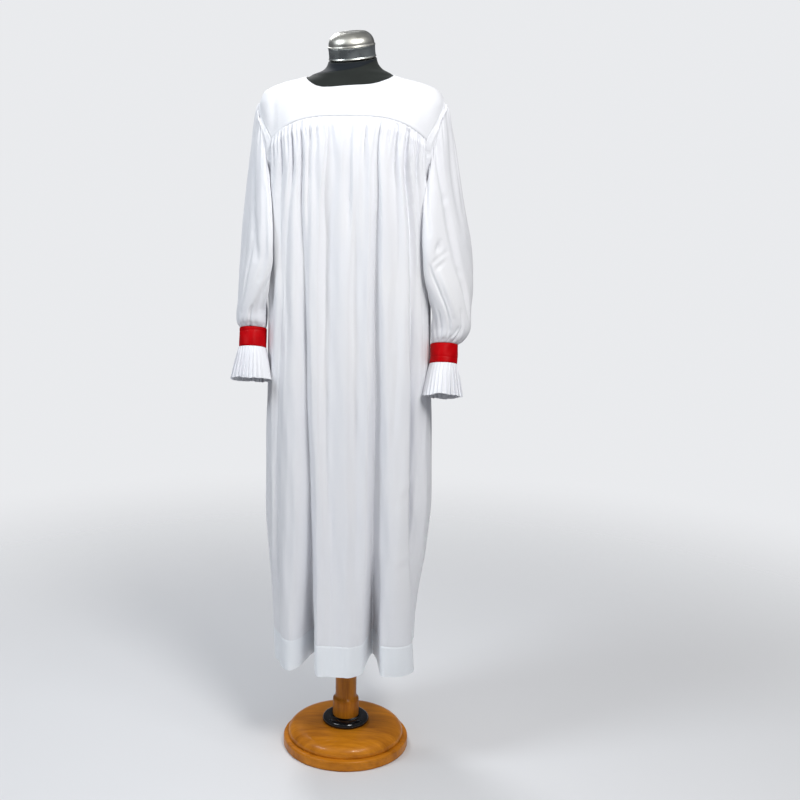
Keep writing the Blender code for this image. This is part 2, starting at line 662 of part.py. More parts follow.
def stand(wood, black):
    sides = 40
    bevel = 0.004
    plate = [(PLATE_RADIUS - bevel, 0.0), (PLATE_RADIUS, bevel), (PLATE_RADIUS, PLATE_HEIGHT - bevel)]
    plate += [(PLATE_RADIUS - bevel, PLATE_HEIGHT)]
    turned("base_plate", [circle(r, z, sides) for r, z in plate], sides, wood)
    foot = PLATE_HEIGHT + TOUCH_GAP
    dome = [(DOME_RADIUS, foot), (DOME_RADIUS, foot + 0.008), (DOME_RADIUS - 0.006, foot + 0.015)]
    dome += [(0.128, foot + 0.0225), (0.105, foot + 0.0290), (RING_RADIUS + 0.004, DOME_TOP_Z)]
    turned("base_dome", [circle(r, z, sides) for r, z in dome], sides, wood)
    foot = DOME_TOP_Z + TOUCH_GAP
    ring = [(RING_RADIUS - 0.002, foot), (RING_RADIUS, foot + 0.003), (RING_RADIUS, RING_TOP_Z - 0.006)]
    ring += [(RING_RADIUS - 0.006, RING_TOP_Z - 0.001), (COLLAR_RADIUS + 0.006, RING_TOP_Z)]
    turned("base_ring", [circle(r, z, sides) for r, z in ring], sides, black)
    foot = RING_TOP_Z + TOUCH_GAP
    groove = COLLAR_TOP_Z + 0.004
    pole = [(COLLAR_RADIUS, foot), (COLLAR_RADIUS, COLLAR_TOP_Z), (COLLAR_RADIUS - 0.004, groove)]
    pole += [(POLE_RADIUS, groove + 0.006), (POLE_RADIUS, FORM["z"][0] - TOUCH_GAP)]
    turned("stand_pole", [circle(r, z, 24) for r, z in pole], 24, wood)


def main():
    for thing in list(bpy.data.objects):
        bpy.data.objects.remove(thing, do_unlink=True)
    white = new_material("white_poplin", (0.86, 0.86, 0.90), 0.75)
    red = new_material("red_satin", (0.52, 0.0, 0.005), 0.45)
    black = new_material("black_jersey", (0.012, 0.013, 0.014), 0.9)
    metal = new_material("bright_metal", (0.6, 0.6, 0.6), 0.3, 1.0)
    wood = new_material("varnished_wood", (0.42, 0.2, 0.05), 0.3)
    gloss = new_material("gloss_black", (0.01, 0.01, 0.012), 0.12)
    yokes(white)
    body_panels(white)
    sleeves(white)
    cuffs(white, red)
    form(black)
    cap(metal)
    stand(wood, gloss)


main()
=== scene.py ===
"""The looks of a bishop's rochet on a limbless dress form with a turned wooden stand.

The shapes come from the same sizes as the part's solids, with finer folds, gathers, seams and pleats.
Metres, +Z up. The front faces -Y. In names, left and right are as seen from the front.
"""

import json
import math
from types import SimpleNamespace

import bpy
import numpy as np
from mathutils import Matrix, Vector

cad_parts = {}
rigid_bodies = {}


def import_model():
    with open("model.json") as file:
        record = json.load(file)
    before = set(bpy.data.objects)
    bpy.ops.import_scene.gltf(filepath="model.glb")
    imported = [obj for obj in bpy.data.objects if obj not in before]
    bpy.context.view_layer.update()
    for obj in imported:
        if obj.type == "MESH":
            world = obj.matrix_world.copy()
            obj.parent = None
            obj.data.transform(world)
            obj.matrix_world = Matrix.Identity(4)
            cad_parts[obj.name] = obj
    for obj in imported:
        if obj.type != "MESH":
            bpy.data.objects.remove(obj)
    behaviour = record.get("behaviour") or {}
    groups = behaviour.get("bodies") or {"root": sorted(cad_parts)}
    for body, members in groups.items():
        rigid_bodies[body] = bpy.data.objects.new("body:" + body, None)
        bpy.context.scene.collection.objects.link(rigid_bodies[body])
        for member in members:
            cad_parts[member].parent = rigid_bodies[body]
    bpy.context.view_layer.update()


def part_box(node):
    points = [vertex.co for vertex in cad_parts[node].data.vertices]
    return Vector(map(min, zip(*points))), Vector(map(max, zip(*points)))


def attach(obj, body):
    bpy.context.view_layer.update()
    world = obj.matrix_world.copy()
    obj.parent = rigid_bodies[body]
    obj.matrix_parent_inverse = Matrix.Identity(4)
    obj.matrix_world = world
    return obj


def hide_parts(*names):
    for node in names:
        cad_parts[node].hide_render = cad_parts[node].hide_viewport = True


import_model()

TURN = 2 * math.pi
FACE = {1: "front", -1: "back"}
SIDE = {"left": -1, "right": 1}

# Driving sizes that the cloth shares with the solids, in metres
CLOTH = 0.002
SEAM_GAP = 0.0005
FORM_GAP = 0.0027
HEM_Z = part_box("body_front")[0].z
HEM_DEEP = 0.074

# How thick each visible cloth is
SKIN = 0.0009
BAND_SKIN = 0.0015
RUFFLE_SKIN = 0.0006
WRAP_SKIN = 0.0004

# The neck hole, seen from above
NECK_SHIFT = -0.003
NECK_SKEW = 0.04
COLLAR_Z = 1.612
NECK_HALF_WIDTH = 0.0965
NECK_REACH = {1: 0.0765, -1: 0.0760}
NECK_SQUARENESS = 3.8

# The yoke's lower seam, an upturned U
SEAM_TOP_Z = 1.5115
SEAM_DROP = 0.046
SEAM_REACH = 0.168
SEAM_POWER = 3.4

# The armhole, from the shoulder point past the yoke's corner to the underarm
SHOULDER_Z = 1.557
CORNER_Z = 1.466
UNDERARM_Z = 1.330
ARMHOLE_SWEEP = math.radians(33)
ARMHOLE_CORNER = math.radians(85)
ARMHOLE_NARROWING = 0.7

# The sleeves and cuffs. PUFF and NECKING are the two rings over the band: how far up they lie, and how much
# further forward than the band they reach. SLEEVE_RADIUS turns degrees round a sleeve into metres.
SLEEVE_OFF = 0.0009
SLEEVE_CLEAR = 0.0065
SLEEVE_TUCK = 0.0017
SLEEVE_RADIUS = 0.060
USUAL_FORWARD = 0.0450
PUFF = (0.030, 0.0210)
NECKING = (0.007, 0.0100)
NECKING_WIDER = 0.0060
HEAD_GATHERS = 30
WRIST_GATHERS = {"left": 13, "right": 15}
BAND_RADIUS = 0.0310
BAND_HEIGHT = 0.0450
BAND_LAP = {"left": math.radians(98), "right": math.radians(262)}
BAND_CREASE = {"left": 0.009, "right": 0.032}
CUFF_TILT = math.radians(17)
RUFFLE_LENGTH = 0.0735
RUFFLE_MOUTH = 0.0465
PLEATS = 28
PLEAT_RISE = 0.0050

# The gathers of the body, whose valleys are numbered from 0 at the left corner of the yoke
GATHERS = 30
SIDE_COUNT = 2.5
LIFT = 0.0074
LIFT_FADES_FROM = 0.05
LIFT_FADES_BY = 0.34
SETTLES_BY = 0.24
TUCK = 0.004

# The cap, the neck that leans with it and the band wrapped round the neck. CAP_OFF is the height of the
# cap's foot over the neck. Below the height after it, the band's rim takes the dome's metal as a painted
# highlight.
CAP_TILT = math.radians(4.2)
CAP_NOD = math.radians(13)
CAP_RADIUS = 0.0533
CAP_BAND = 0.0295
CAP_DOME = 0.0275
CAP_FLAT = 0.0300
CAP_OFF = 0.0030
RIM_PAINTED_HIGHLIGHT_TOP = 0.0034
LEANS_FROM = 1.60
LEANS_OVER = 0.04
WRAP_Z = 1.6215
WRAP_SLOPE = 0.30
WRAP_REACH = 0.056

# The stand, with a hair's gap between its turned parts
STAND_GAP = 0.0003
POLE_RADIUS = 0.02575

# How finely the pieces are divided
BODY_STEPS = 6
BODY_SIDE_STEPS = 14
BODY_ROWS = 178
YOKE_STEPS = 150
YOKE_SIDE_STEPS = 22
YOKE_ROWS = 62
SLEEVE_ROWS = 140
BAND_COLUMNS = 150
BAND_ROWS = 34
RUFFLE_ROWS = 40
FORM_COLUMNS = 112
STAND_COLUMNS = 192

# The weave and the stitches of the finishes
THREAD = 0.00055
STITCH_LENGTH = 0.0028
STITCH_WIDE = 0.0007
NECK_STITCH = 0.0065
SEAM_STITCH = 0.0022
BAND_STITCH = 0.003
RUFFLE_STITCH = 0.004

# The camera that sees it as the photograph does
CAMERA_FAR = 2.6
EYE_Z = 1.354
CAMERA_TURN = math.radians(6)
CAMERA_PITCH = math.radians(10.6)
CAMERA_ROLL = math.radians(0.6)
LENS = 50.49
SENSOR = 36.0
SHIFT_X = 0.06375


def table(columns, *rows):
    """One array for each named column."""
    return dict(zip(columns.split(), (np.array(c, float) for c in zip(*rows))))


def rows_of(columns):
    """The rows of a table, each with its columns' names."""
    return [SimpleNamespace(**dict(zip(columns, row))) for row in zip(*columns.values())]


# The form, level by level. overhang is how far the cloth stands out past the form's side.
FORM = table(
    "z half_width front back squareness overhang",
    (0.835, 0.152, 0.084, 0.094, 2.2, 0),
    (0.850, 0.166, 0.096, 0.106, 2.2, 0),
    (0.920, 0.171, 0.103, 0.108, 2.2, 0),
    (1.000, 0.160, 0.101, 0.098, 2.2, 0),
    (1.100, 0.141, 0.097, 0.086, 2.2, 0),
    (1.180, 0.140, 0.100, 0.086, 2.2, 0),
    (1.280, 0.154, 0.112, 0.097, 2.3, 0),
    (1.380, 0.167, 0.118, 0.107, 2.4, 0),
    (1.450, 0.174, 0.116, 0.112, 2.5, 0.0180),
    (1.500, 0.179, 0.108, 0.112, 2.6, 0.0190),
    (1.540, 0.1825, 0.093, 0.107, 2.6, 0.0200),
    (1.565, 0.182, 0.080, 0.100, 2.5, 0.0130),
    (1.579, 0.173, 0.073, 0.092, 2.3, 0.0015),
    (1.588, 0.148, 0.069, 0.084, 2.15, 0),
    (1.596, 0.117, 0.0655, 0.077, 2.05, 0),
    (1.602, 0.098, 0.0635, 0.072, 2.0, 0),
    (1.609, 0.086, 0.0615, 0.067, 2.0, 0),
    (1.618, 0.067, 0.0590, 0.061, 2.0, 0),
    (1.628, 0.0575, 0.0560, 0.057, 2.0, 0),
    (1.640, 0.0530, 0.0530, 0.053, 2.0, 0),
)

# The hollow inside the hanging cloth, below the chest where it leaves the form
HANGING = table(
    "z half_width front back squareness shift",
    (0.242, 0.162, 0.160, 0.172, 2.9, -0.006),
    (0.400, 0.173, 0.155, 0.166, 2.85, -0.003),
    (0.520, 0.187, 0.151, 0.160, 2.75, 0.001),
    (0.640, 0.194, 0.147, 0.156, 2.8, 0.003),
    (0.800, 0.191, 0.143, 0.150, 2.9, 0.002),
    (1.000, 0.185, 0.138, 0.142, 3.1, 0.001),
    (1.200, 0.184, 0.132, 0.133, 3.0, 0),
    (1.330, 0.187, 0.127, 0.125, 2.7, 0),
    (1.400, 0.189, 0.123, 0.119, 2.5, 0),
)

# The folds, in millimetres. count is the gather that a fold runs on from, or 0 for a short fold or a lobe
# that crowds no gathers. x is its place at five levels, deep how far it is pulled in there, left and right
# its width to each side, and soft is 1 for a round fold.
LEVELS = {"hem": HEM_Z, "knee": 0.55, "hip": 0.90, "waist": 1.15, "chest": 1.38}
FOLD_COLUMNS = (
    "count x_chest x_waist x_hip x_knee x_hem deep_chest deep_waist deep_hip deep_knee deep_hem"
    " left_chest left_hem right_chest right_hem soft"
)
FRONT_FOLDS = table(
    FOLD_COLUMNS,
    (3.9, -147, -143, -152, -158, -154, 9, 8, 8, 14, 8, 20, 34, 24, 42, 0.3),
    (6.7, -121, -131, -126, -114, -108, 9, 6, 1, 2, 3, 12, 36, 14, 36, 0.2),
    (8.8, -99, -91, -84, -74, -77, 15, 20, 26, 44, 132, 20, 42, 10, 20, 0.0),
    (13.2, -42, -43, -40, -26, -18, 17, 21, 17, 8, 2, 11, 24, 44, 46, 0.5),
    (15.3, 8, 9, 8, 12, 16, 15, 2, 0, 0, 0, 20, 24, 8, 24, 0.0),
    (18.9, 67, 67, 70, 70, 61, 18, 27, 36, 46, 30, 14, 10, 10, 54, 0.0),
    (22.1, 106, 116, 118, 117, 110, 11, 6, 2, 0, 0, 18, 28, 18, 28, 0.5),
    (24.4, 131, 147, 155, 158, 149, 15, 24, 38, 56, 40, 7, 8, 30, 60, 0.0),
    (27.3, 156, 170, 179, 176, 153, 7, 5, 3, 2, 0, 14, 20, 14, 20, 0.4),
    (0, -80, -84, -80, -75, -75, 9, 6, 0, 0, 0, 8, 16, 10, 16, 0.1),
    (0, -66, -54, -50, -40, -30, 6, 2, 0, 0, 0, 12, 20, 16, 20, 0.5),
    (0, 41, 46, 55, 60, 60, 6, 1, 0, 0, 0, 12, 20, 14, 20, 0.4),
    (0, 24, 23, 26, 34, 40, 2, 13, 15, 9, 5, 9, 24, 38, 44, 0.5),
    (0, 67, 67, 70, 70, 61, 0, 0, 0, 0, 44, 20, 8, 20, 32, 1.0),
    (0, 67, 67, 71, 76, 80, 0, 0, 0, 0, 76, 20, 26, 20, 14, 1.0),
    (0, 67, 67, 70, 70, 62, 0, 0, 0, 4, 24, 20, 36, 20, 10, 0.6),
    (0, -170, -168, -176, -178, -160, 4, 5, 5, 5, 4, 16, 20, 16, 20, 0.6),
    (0, 140, 140, 140, 140, 140, 0, 0, -4, -15, -26, 60, 60, 60, 60, 1),
)
BACK_FOLDS = table(
    FOLD_COLUMNS,
    (3, -146, -147, -150, -146, -138, 7, 10, 16, 34, 60, 18, 44, 22, 46, 0.3),
    (7, -94, -93, -90, -88, -82, 9, 13, 22, 44, 70, 26, 40, 16, 42, 0.1),
    (12, -44, -42, -36, -30, -24, 9, 14, 26, 54, 90, 18, 44, 30, 44, 0.1),
    (17, 12, 14, 22, 30, 34, 9, 12, 18, 36, 60, 28, 42, 16, 42, 0.3),
    (21, 62, 68, 76, 84, 88, 10, 15, 28, 58, 95, 16, 46, 32, 48, 0.0),
    (26, 118, 122, 126, 130, 130, 8, 10, 14, 22, 30, 20, 30, 16, 30, 0.3),
    (0, -170, -170, -172, -170, -160, 5, 5, 5, 5, 4, 16, 20, 16, 20, 0.6),
    (0, -122, -119, -116, -110, -104, 6, 4, 2, 0, 0, 14, 20, 14, 20, 0.5),
    (0, -68, -66, -60, -56, -50, 5, 3, 0, 0, 0, 13, 20, 16, 20, 0.4),
    (0, -14, -12, -6, 0, 6, 6, 5, 4, 2, 0, 16, 24, 14, 24, 0.6),
    (0, 36, 40, 46, 54, 60, 5, 3, 2, 0, 0, 13, 20, 13, 20, 0.5),
    (0, 90, 94, 100, 106, 108, 6, 5, 5, 4, 0, 18, 24, 14, 24, 0.7),
    (0, 148, 152, 158, 160, 152, 6, 8, 9, 8, 6, 14, 22, 14, 22, 0.4),
    (0, 140, 140, 140, 140, 138, 0, 0, -4, -10, -16, 60, 60, 60, 60, 1),
    (0, -150, -150, -150, -150, -150, 0, 0, -4, -8, -12, 60, 60, 60, 60, 1),
)

# The small gathers under the yoke: each valley's place, counted in even gathers from the left corner, how
# far down it reaches in centimetres and how deep it is in millimetres
SMALL_GATHERS = table(
    "place reach deep",
    (0.3, 5, 3.0),
    (1.5, 9, 4.6),
    (2.7, 7, 4.0),
    (3.9, 15, 6.0),
    (4.7, 6, 3.6),
    (5.6, 10, 4.8),
    (6.7, 17, 6.4),
    (7.6, 8, 4.4),
    (8.8, 20, 6.8),
    (9.5, 6, 3.4),
    (10.3, 14, 6.0),
    (11.4, 9, 5.0),
    (12.3, 6, 4.0),
    (13.3, 22, 6.8),
    (14.3, 7, 4.0),
    (15.3, 20, 6.8),
    (16.1, 7, 4.4),
    (17.0, 13, 5.8),
    (17.9, 6, 3.8),
    (18.9, 24, 7.2),
    (19.8, 8, 4.4),
    (20.9, 12, 5.2),
    (22.1, 15, 5.8),
    (23.1, 7, 4.2),
    (24.4, 21, 6.8),
    (25.3, 7, 4.2),
    (26.2, 12, 5.2),
    (27.3, 15, 5.6),
    (28.2, 7, 4.2),
    (29.0, 9, 4.4),
    (29.7, 5, 3.0),
)

# Small creases on the front, end to end in millimetres, with their width and height
YOKE_CREASES = table(
    "x_from z_from x_to z_to wide high",
    (-78, 1586, -54, 1552, 6, -1.1),
    (-66, 1584, -36, 1550, 7, -1.0),
    (-90, 1578, -80, 1556, 6, -0.6),
    (168, 1566, 176, 1538, 8, -0.9),
    (-168, 1562, -168, 1468, 14, -2.0),
    (-156, 1558, -158, 1462, 32, -3.2),
    (168, 1566, 171, 1500, 20, -1.2),
)
BODY_CREASES = table(
    "x_from z_from x_to z_to wide high",
    (128, 512, 160, 536, 12, 3.0),
    (124, 498, 158, 524, 14, -2.2),
    (124, 664, 154, 702, 12, 2.2),
    (122, 654, 152, 690, 13, -1.6),
    (108, 600, 136, 634, 8, 1.2),
    (100, 596, 128, 628, 9, -0.8),
    (-60, 560, -38, 600, 12, 0.7),
    (18, 480, 44, 452, 14, 0.7),
    (20, 352, 50, 338, 11, 1.5),
    (96, 980, 124, 1010, 14, 0.9),
    (-146, 980, -124, 1020, 12, -0.8),
)

# The sleeves, ring by ring from the armhole: the outer and inner edge, half the depth, how far forward,
# and by how many degrees the oval is turned so that its front lies nearer to the body.
SLEEVE = table(
    "outer_x outer_z inner_x inner_z half_depth forward turn",
    (0.2180, 1.532, 0.1650, 1.318, 0.0620, 0.004, 28),
    (0.2310, 1.480, 0.1600, 1.298, 0.0720, 0.007, 34),
    (0.2435, 1.405, 0.1580, 1.272, 0.0820, 0.010, 39),
    (0.2560, 1.332, 0.1590, 1.240, 0.0875, 0.013, 42),
    (0.2675, 1.264, 0.1610, 1.205, 0.0880, 0.017, 42),
    (0.2715, 1.208, 0.1640, 1.168, 0.0820, 0.022, 38),
    (0.2705, 1.155, 0.1750, 1.132, 0.0715, 0.029, 28),
    (0.2665, 1.110, 0.1860, 1.098, 0.0580, 0.036, 14),
)

# The wrists: the middle of each band's top, how far the sleeve's last ring drops and how much further out its
# outer and inner edges lie, then half the width of the puff over the band and how far that leans out
WRISTS = dict(zip(SIDE, rows_of(table(
    "x forward z drop wider inner puff lean",
    (0.2172, 0.0530, 1.039, 0.000, -0.012, -0.010, 0.0395, 0.000),
    (0.2208, 0.0440, 1.011, 0.026, 0.012, 0.006, 0.0460, 0.010),
))))

# Folds of the sleeves, from one place to another: the turn in degrees (0 the outer edge, 90 the front,
# 180 the inner edge, 270 the back), the share of the way from armhole to wrist, width and depth in mm.
SLEEVE_FOLD_COLUMNS = "turn_from share_from turn_to share_to wide deep"
SLEEVE_FOLDS = {
    "left": table(
        SLEEVE_FOLD_COLUMNS,
        (48, 0.02, 18, 0.18, 11, 5.0),
        (18, 0.18, 36, 0.40, 12, 5.0),
        (36, 0.40, 60, 0.64, 13, 4.5),
        (84, 0.05, 96, 0.40, 12, 4.0),
        (74, 0.30, 84, 0.74, 15, 4.0),
        (112, 0.30, 122, 0.90, 12, 4.5),
        (132, 0.42, 134, 0.88, 10, -3.0),
        (20, 0.45, 32, 0.90, 8, 2.6),
        (42, 0.52, 50, 0.92, 7, 2.2),
        (6, 0.42, 14, 0.86, 9, 2.4),
        (94, 0.90, 86, 0.995, 9, 5.0),
        (150, 0.20, 160, 0.90, 14, 4.0),
        (200, 0.15, 215, 0.85, 14, 5.0),
        (236, 0.05, 246, 0.60, 12, 5.0),
        (262, 0.10, 270, 0.96, 14, 5.5),
        (296, 0.04, 300, 0.50, 12, 4.5),
        (322, 0.30, 328, 0.97, 12, 4.5),
        (344, 0.05, 350, 0.45, 11, 4.0),
    ),
    "right": table(
        SLEEVE_FOLD_COLUMNS,
        (64, 0.01, 38, 0.36, 12, 7.5),
        (38, 0.36, 30, 0.66, 13, 6.0),
        (30, 0.66, 14, 0.86, 12, 6.0),
        (12, 0.04, 4, 0.50, 15, 4.0),
        (96, 0.03, 84, 0.44, 11, 3.6),
        (62, 0.51, 68, 0.55, 12, 6.0),
        (48, 0.56, 84, 0.59, 6, 3.0),
        (54, 0.60, 80, 0.63, 6, 2.6),
        (70, 0.64, 70, 0.86, 11, -3.5),
        (92, 0.60, 88, 0.98, 7, 4.0),
        (44, 0.84, 52, 0.985, 9, 4.0),
        (60, 0.92, 74, 0.975, 6, 3.5),
        (84, 0.93, 76, 0.985, 6, 3.0),
        (116, 0.84, 110, 0.99, 8, 4.5),
        (134, 0.70, 130, 0.98, 9, 3.5),
        (150, 0.25, 158, 0.90, 14, 4.0),
        (196, 0.10, 210, 0.85, 14, 5.0),
        (232, 0.08, 240, 0.62, 12, 5.0),
        (258, 0.10, 266, 0.96, 14, 5.5),
        (290, 0.04, 296, 0.52, 12, 4.5),
        (318, 0.30, 326, 0.97, 12, 4.5),
        (342, 0.05, 348, 0.42, 11, 4.0),
    ),
}

# One knife pleat from edge to edge: how far round it lies, and how far it rises, then folds back under
PLEAT_PATH = table(
    "round rise",
    (0.00, 0.00),
    (0.22, 0.24),
    (0.44, 0.48),
    (0.64, 0.70),
    (0.82, 0.90),
    (0.93, 1.00),
    (0.985, 0.97),
    (0.975, 0.84),
    (0.90, 0.62),
    (0.86, 0.42),
    (0.90, 0.20),
)

NECK_TOP = FORM["z"][-1]


# Curves and outlines

def curve(at, knots, values, slope=None):
    """A smooth curve through the values at the knots. Where no slope is given it never overshoots them."""
    if slope is None:
        rate = np.diff(values) / np.diff(knots)
        before = rate[:-1]
        after = rate[1:]
        total = before + after
        safe = np.where(np.abs(total) > 1e-12, total, 1.0)
        middle = np.where(before * after > 0, 2 * before * after / safe, 0.0)
        slope = np.concatenate([rate[:1], middle, rate[-1:]])
    at = np.clip(np.asarray(at, float), knots[0], knots[-1])
    cell = np.clip(np.searchsorted(knots, at, side="right") - 1, 0, len(knots) - 2)
    shape = np.shape(at) + (1,) * (values.ndim - 1)
    span = np.reshape(knots[cell + 1] - knots[cell], shape)
    t = np.reshape(at - knots[cell], shape) / span
    start = values[cell] * (1 + 2 * t) + slope[cell] * span * t
    end = values[cell + 1] * (3 - 2 * t) - slope[cell + 1] * span * (1 - t)
    return start * (1 - t) ** 2 + end * t**2


def ease(t):
    """0 before 0, 1 after 1, and a smooth step between."""
    t = np.clip(t, 0, 1)
    return t * t * (3 - 2 * t)


def ridge(off, wide):
    """A soft ridge along a line: 1 on it, and next to nothing two widths away."""
    return np.exp(-((off / wide) ** 2))


def powered(value, power):
    """A power of the value's size, with the value's sign."""
    return np.sign(value) * np.abs(value) ** power


def unit(vectors):
    return vectors / np.maximum(np.linalg.norm(vectors, axis=-1, keepdims=True), 1e-12)


def travelled(steps):
    """The distance from the start to each end of a row of steps."""
    return np.concatenate([[0], np.cumsum(steps)])


def uneven(count, seed):
    """Numbers from 0 to 1 that repeat each run, one for each of a row of like things."""
    return np.random.default_rng(seed).random(count)


def spaced(length, spacing, rows):
    """Places from 0 to the length whose spacing follows the given function."""
    fine = np.linspace(0, length, 4000)
    reached = travelled(np.diff(fine) / spacing((fine[:-1] + fine[1:]) / 2))
    return np.interp(np.linspace(0, reached[-1], rows), reached, fine)


def cloth_table():
    """The inner face of the cloth, level by level: the hanging part, then what rests on the form."""
    upper = (FORM["z"] > HANGING["z"][-1]) & (FORM["z"] < COLLAR_Z)
    form = dict(FORM, shift=0 * FORM["z"], half_width=FORM["half_width"] + FORM["overhang"] + FORM_GAP)
    for side in FACE.values():
        form[side] = FORM[side] + FORM_GAP
    return {name: np.concatenate([HANGING[name], form[name][upper]]) for name in HANGING}


INSIDE = cloth_table()


def level(shape, name, z):
    return curve(z, shape["z"], shape[name])


def reach_at(shape, ahead, z):
    """How far a level reaches forward where ahead is true, and backward elsewhere."""
    return np.where(ahead, level(shape, "front", z), level(shape, "back", z))


def share_out(shape, points, gap=0.0):
    """How far out points lie on their way from the axis to a level's outline, which is at 1."""
    x, y, z = np.moveaxis(points, -1, 0)
    square = level(shape, "squareness", z)
    across = (np.abs(x) / (level(shape, "half_width", z) + gap)) ** square
    along = (np.abs(y) / (reach_at(shape, y < 0, z) + gap)) ** square
    return (across + along) ** (1 / square)


def outline(z, angle, facing=1):
    """Points on the cloth's inner face. The angle is 0 at the centre and 90 degrees at the wearer's left."""
    power = 2 / level(INSIDE, "squareness", z)
    x = level(INSIDE, "half_width", z) * powered(np.sin(angle), power) + level(INSIDE, "shift", z)
    y = -facing * level(INSIDE, FACE[facing], z) * np.abs(np.cos(angle)) ** power
    return np.stack([x, y, z + 0 * x], -1)


def angle_of(z, x):
    """The angle where the outline passes the width x."""
    x = x - level(INSIDE, "shift", z)
    share = np.clip(np.abs(x) / level(INSIDE, "half_width", z), 0, 1)
    return np.sign(x) * np.arcsin(share ** (level(INSIDE, "squareness", z) / 2))


def armhole(turn):
    """(angle, z) on the armhole, from the shoulder point, 0, past the yoke's corner to the underarm, pi."""
    turn = np.asarray(turn, float)
    rise = np.cos(np.minimum(turn / ARMHOLE_CORNER, 1) * math.pi / 2)
    fall = np.sin(np.clip((turn - ARMHOLE_CORNER) / (math.pi - ARMHOLE_CORNER), 0, 1) * math.pi / 2)
    z = CORNER_Z + (SHOULDER_Z - CORNER_Z) * rise - (CORNER_Z - UNDERARM_Z) * fall
    above = np.sqrt(1 - np.minimum(rise, 1) ** 2) * (1 - ARMHOLE_NARROWING * rise)
    below = np.sqrt(1 - np.minimum(fall, 1) ** 2)
    return math.pi / 2 - ARMHOLE_SWEEP * np.where(turn < ARMHOLE_CORNER, above, below), z


def seam_places(angles):
    """The height of the yoke's lower seam at each angle."""
    z = np.full(np.shape(angles), SEAM_TOP_Z)
    for _ in range(12):
        x = outline(z, angles)[..., 0]
        z = SEAM_TOP_Z - SEAM_DROP * (np.abs(x) / SEAM_REACH) ** SEAM_POWER
    return z


def neck_places(turns, facing):
    """(angle, z) of the neck hole, an oval seen from above that lies on the shoulders."""
    power = 2 / NECK_SQUARENESS
    x = NECK_HALF_WIDTH * powered(np.sin(turns), power)
    y = NECK_REACH[facing] * np.abs(np.cos(turns)) ** power * (1 - NECK_SKEW * x / NECK_HALF_WIDTH)
    x = x + NECK_SHIFT
    low = np.full(len(turns), SEAM_TOP_Z)
    high = np.full(len(turns), INSIDE["z"][-1])
    for _ in range(40):
        middle = (low + high) / 2
        inside = share_out(INSIDE, np.stack([x, -facing * y, middle], -1)) < 1
        low = np.where(inside, middle, low)
        high = np.where(inside, high, middle)
    z = (low + high) / 2
    return angle_of(z, x), z


def facing_out(grid, closed=False):
    """The direction across a grid whose rows run downwards and columns to +X on the front."""
    across = np.roll(grid, -1, 1) - np.roll(grid, 1, 1) if closed else np.gradient(grid, axis=1)
    return unit(np.cross(np.gradient(grid, axis=0), across))


def clear_of_form(points, gap):
    """Pushes points that lie inside the form, or nearer to it than the gap, straight out from the axis."""
    share = share_out(FORM, points, gap)
    push = np.where((share < 1) & (points[..., 2] > FORM["z"][0]), 1 / np.maximum(share, 0.2), 1.0)
    out = points.copy()
    out[..., :2] *= push[..., None]
    return out


def clear_of_body(points, sign):
    """Pushes a sleeve's points sideways until they stand clear of the body's cloth."""
    _, y, z = np.moveaxis(points, -1, 0)
    gap = CLOTH + SLEEVE_CLEAR
    square = level(INSIDE, "squareness", z)
    along = np.clip(np.abs(y) / (reach_at(INSIDE, y < 0, z) + gap), 0, 1) ** square
    least = (level(INSIDE, "half_width", z) + gap) * (1 - along) ** (1 / square)
    least += sign * level(INSIDE, "shift", z)
    out = points.copy()
    out[..., 0] = np.maximum(out[..., 0], least)
    return out


def stroke(u, v, start, end, wide, blunt, power=1):
    """A soft straight stroke on the plane of u and v: 1 at its middle, 0 at its width, lower at its ends."""
    along = np.array(end) - np.array(start)
    t = np.clip(((u - start[0]) * along[0] + (v - start[1]) * along[1]) / (along @ along), 0, 1)
    off = np.hypot(u - start[0] - t * along[0], v - start[1] - t * along[1])
    return ease(1 - off / wide) * np.sin(math.pi * (blunt + (1 - 2 * blunt) * t)) ** power


def creases(points, marks):
    """How far small creases lift or press the cloth."""
    x, _, z = np.moveaxis(points * 1000, -1, 0)
    total = 0 * x
    for mark in rows_of(marks):
        start = (mark.x_from, mark.z_from)
        end = (mark.x_to, mark.z_to)
        total += stroke(x, z, start, end, mark.wide, 0.12) * mark.high / 1000
    return total


# Meshes

def added(name, data):
    thing = bpy.data.objects.new(name, data)
    bpy.context.scene.collection.objects.link(thing)
    return thing


def new_object(name, points, faces, material):
    mesh = bpy.data.meshes.new(name)
    mesh.from_pydata(np.asarray(points, float).tolist(), [], [list(map(int, f)) for f in faces])
    mesh.shade_smooth()
    mesh.materials.append(material)
    return added(name, mesh)


def cloth_lengths(grid, closed=False):
    """How far each point is across the cloth, and from its lower and upper edge, in metres."""
    wide = np.concatenate([grid, grid[:, :1]], 1) if closed else grid
    steps = np.linalg.norm(np.diff(wide, axis=1), axis=-1).mean(0)
    across = np.broadcast_to(travelled(steps), wide.shape[:2])
    drops = np.linalg.norm(np.diff(wide, axis=0), axis=-1)
    down = np.concatenate([np.zeros((1, wide.shape[1])), np.cumsum(drops, 0)])
    return across, down[-1:] - down, down


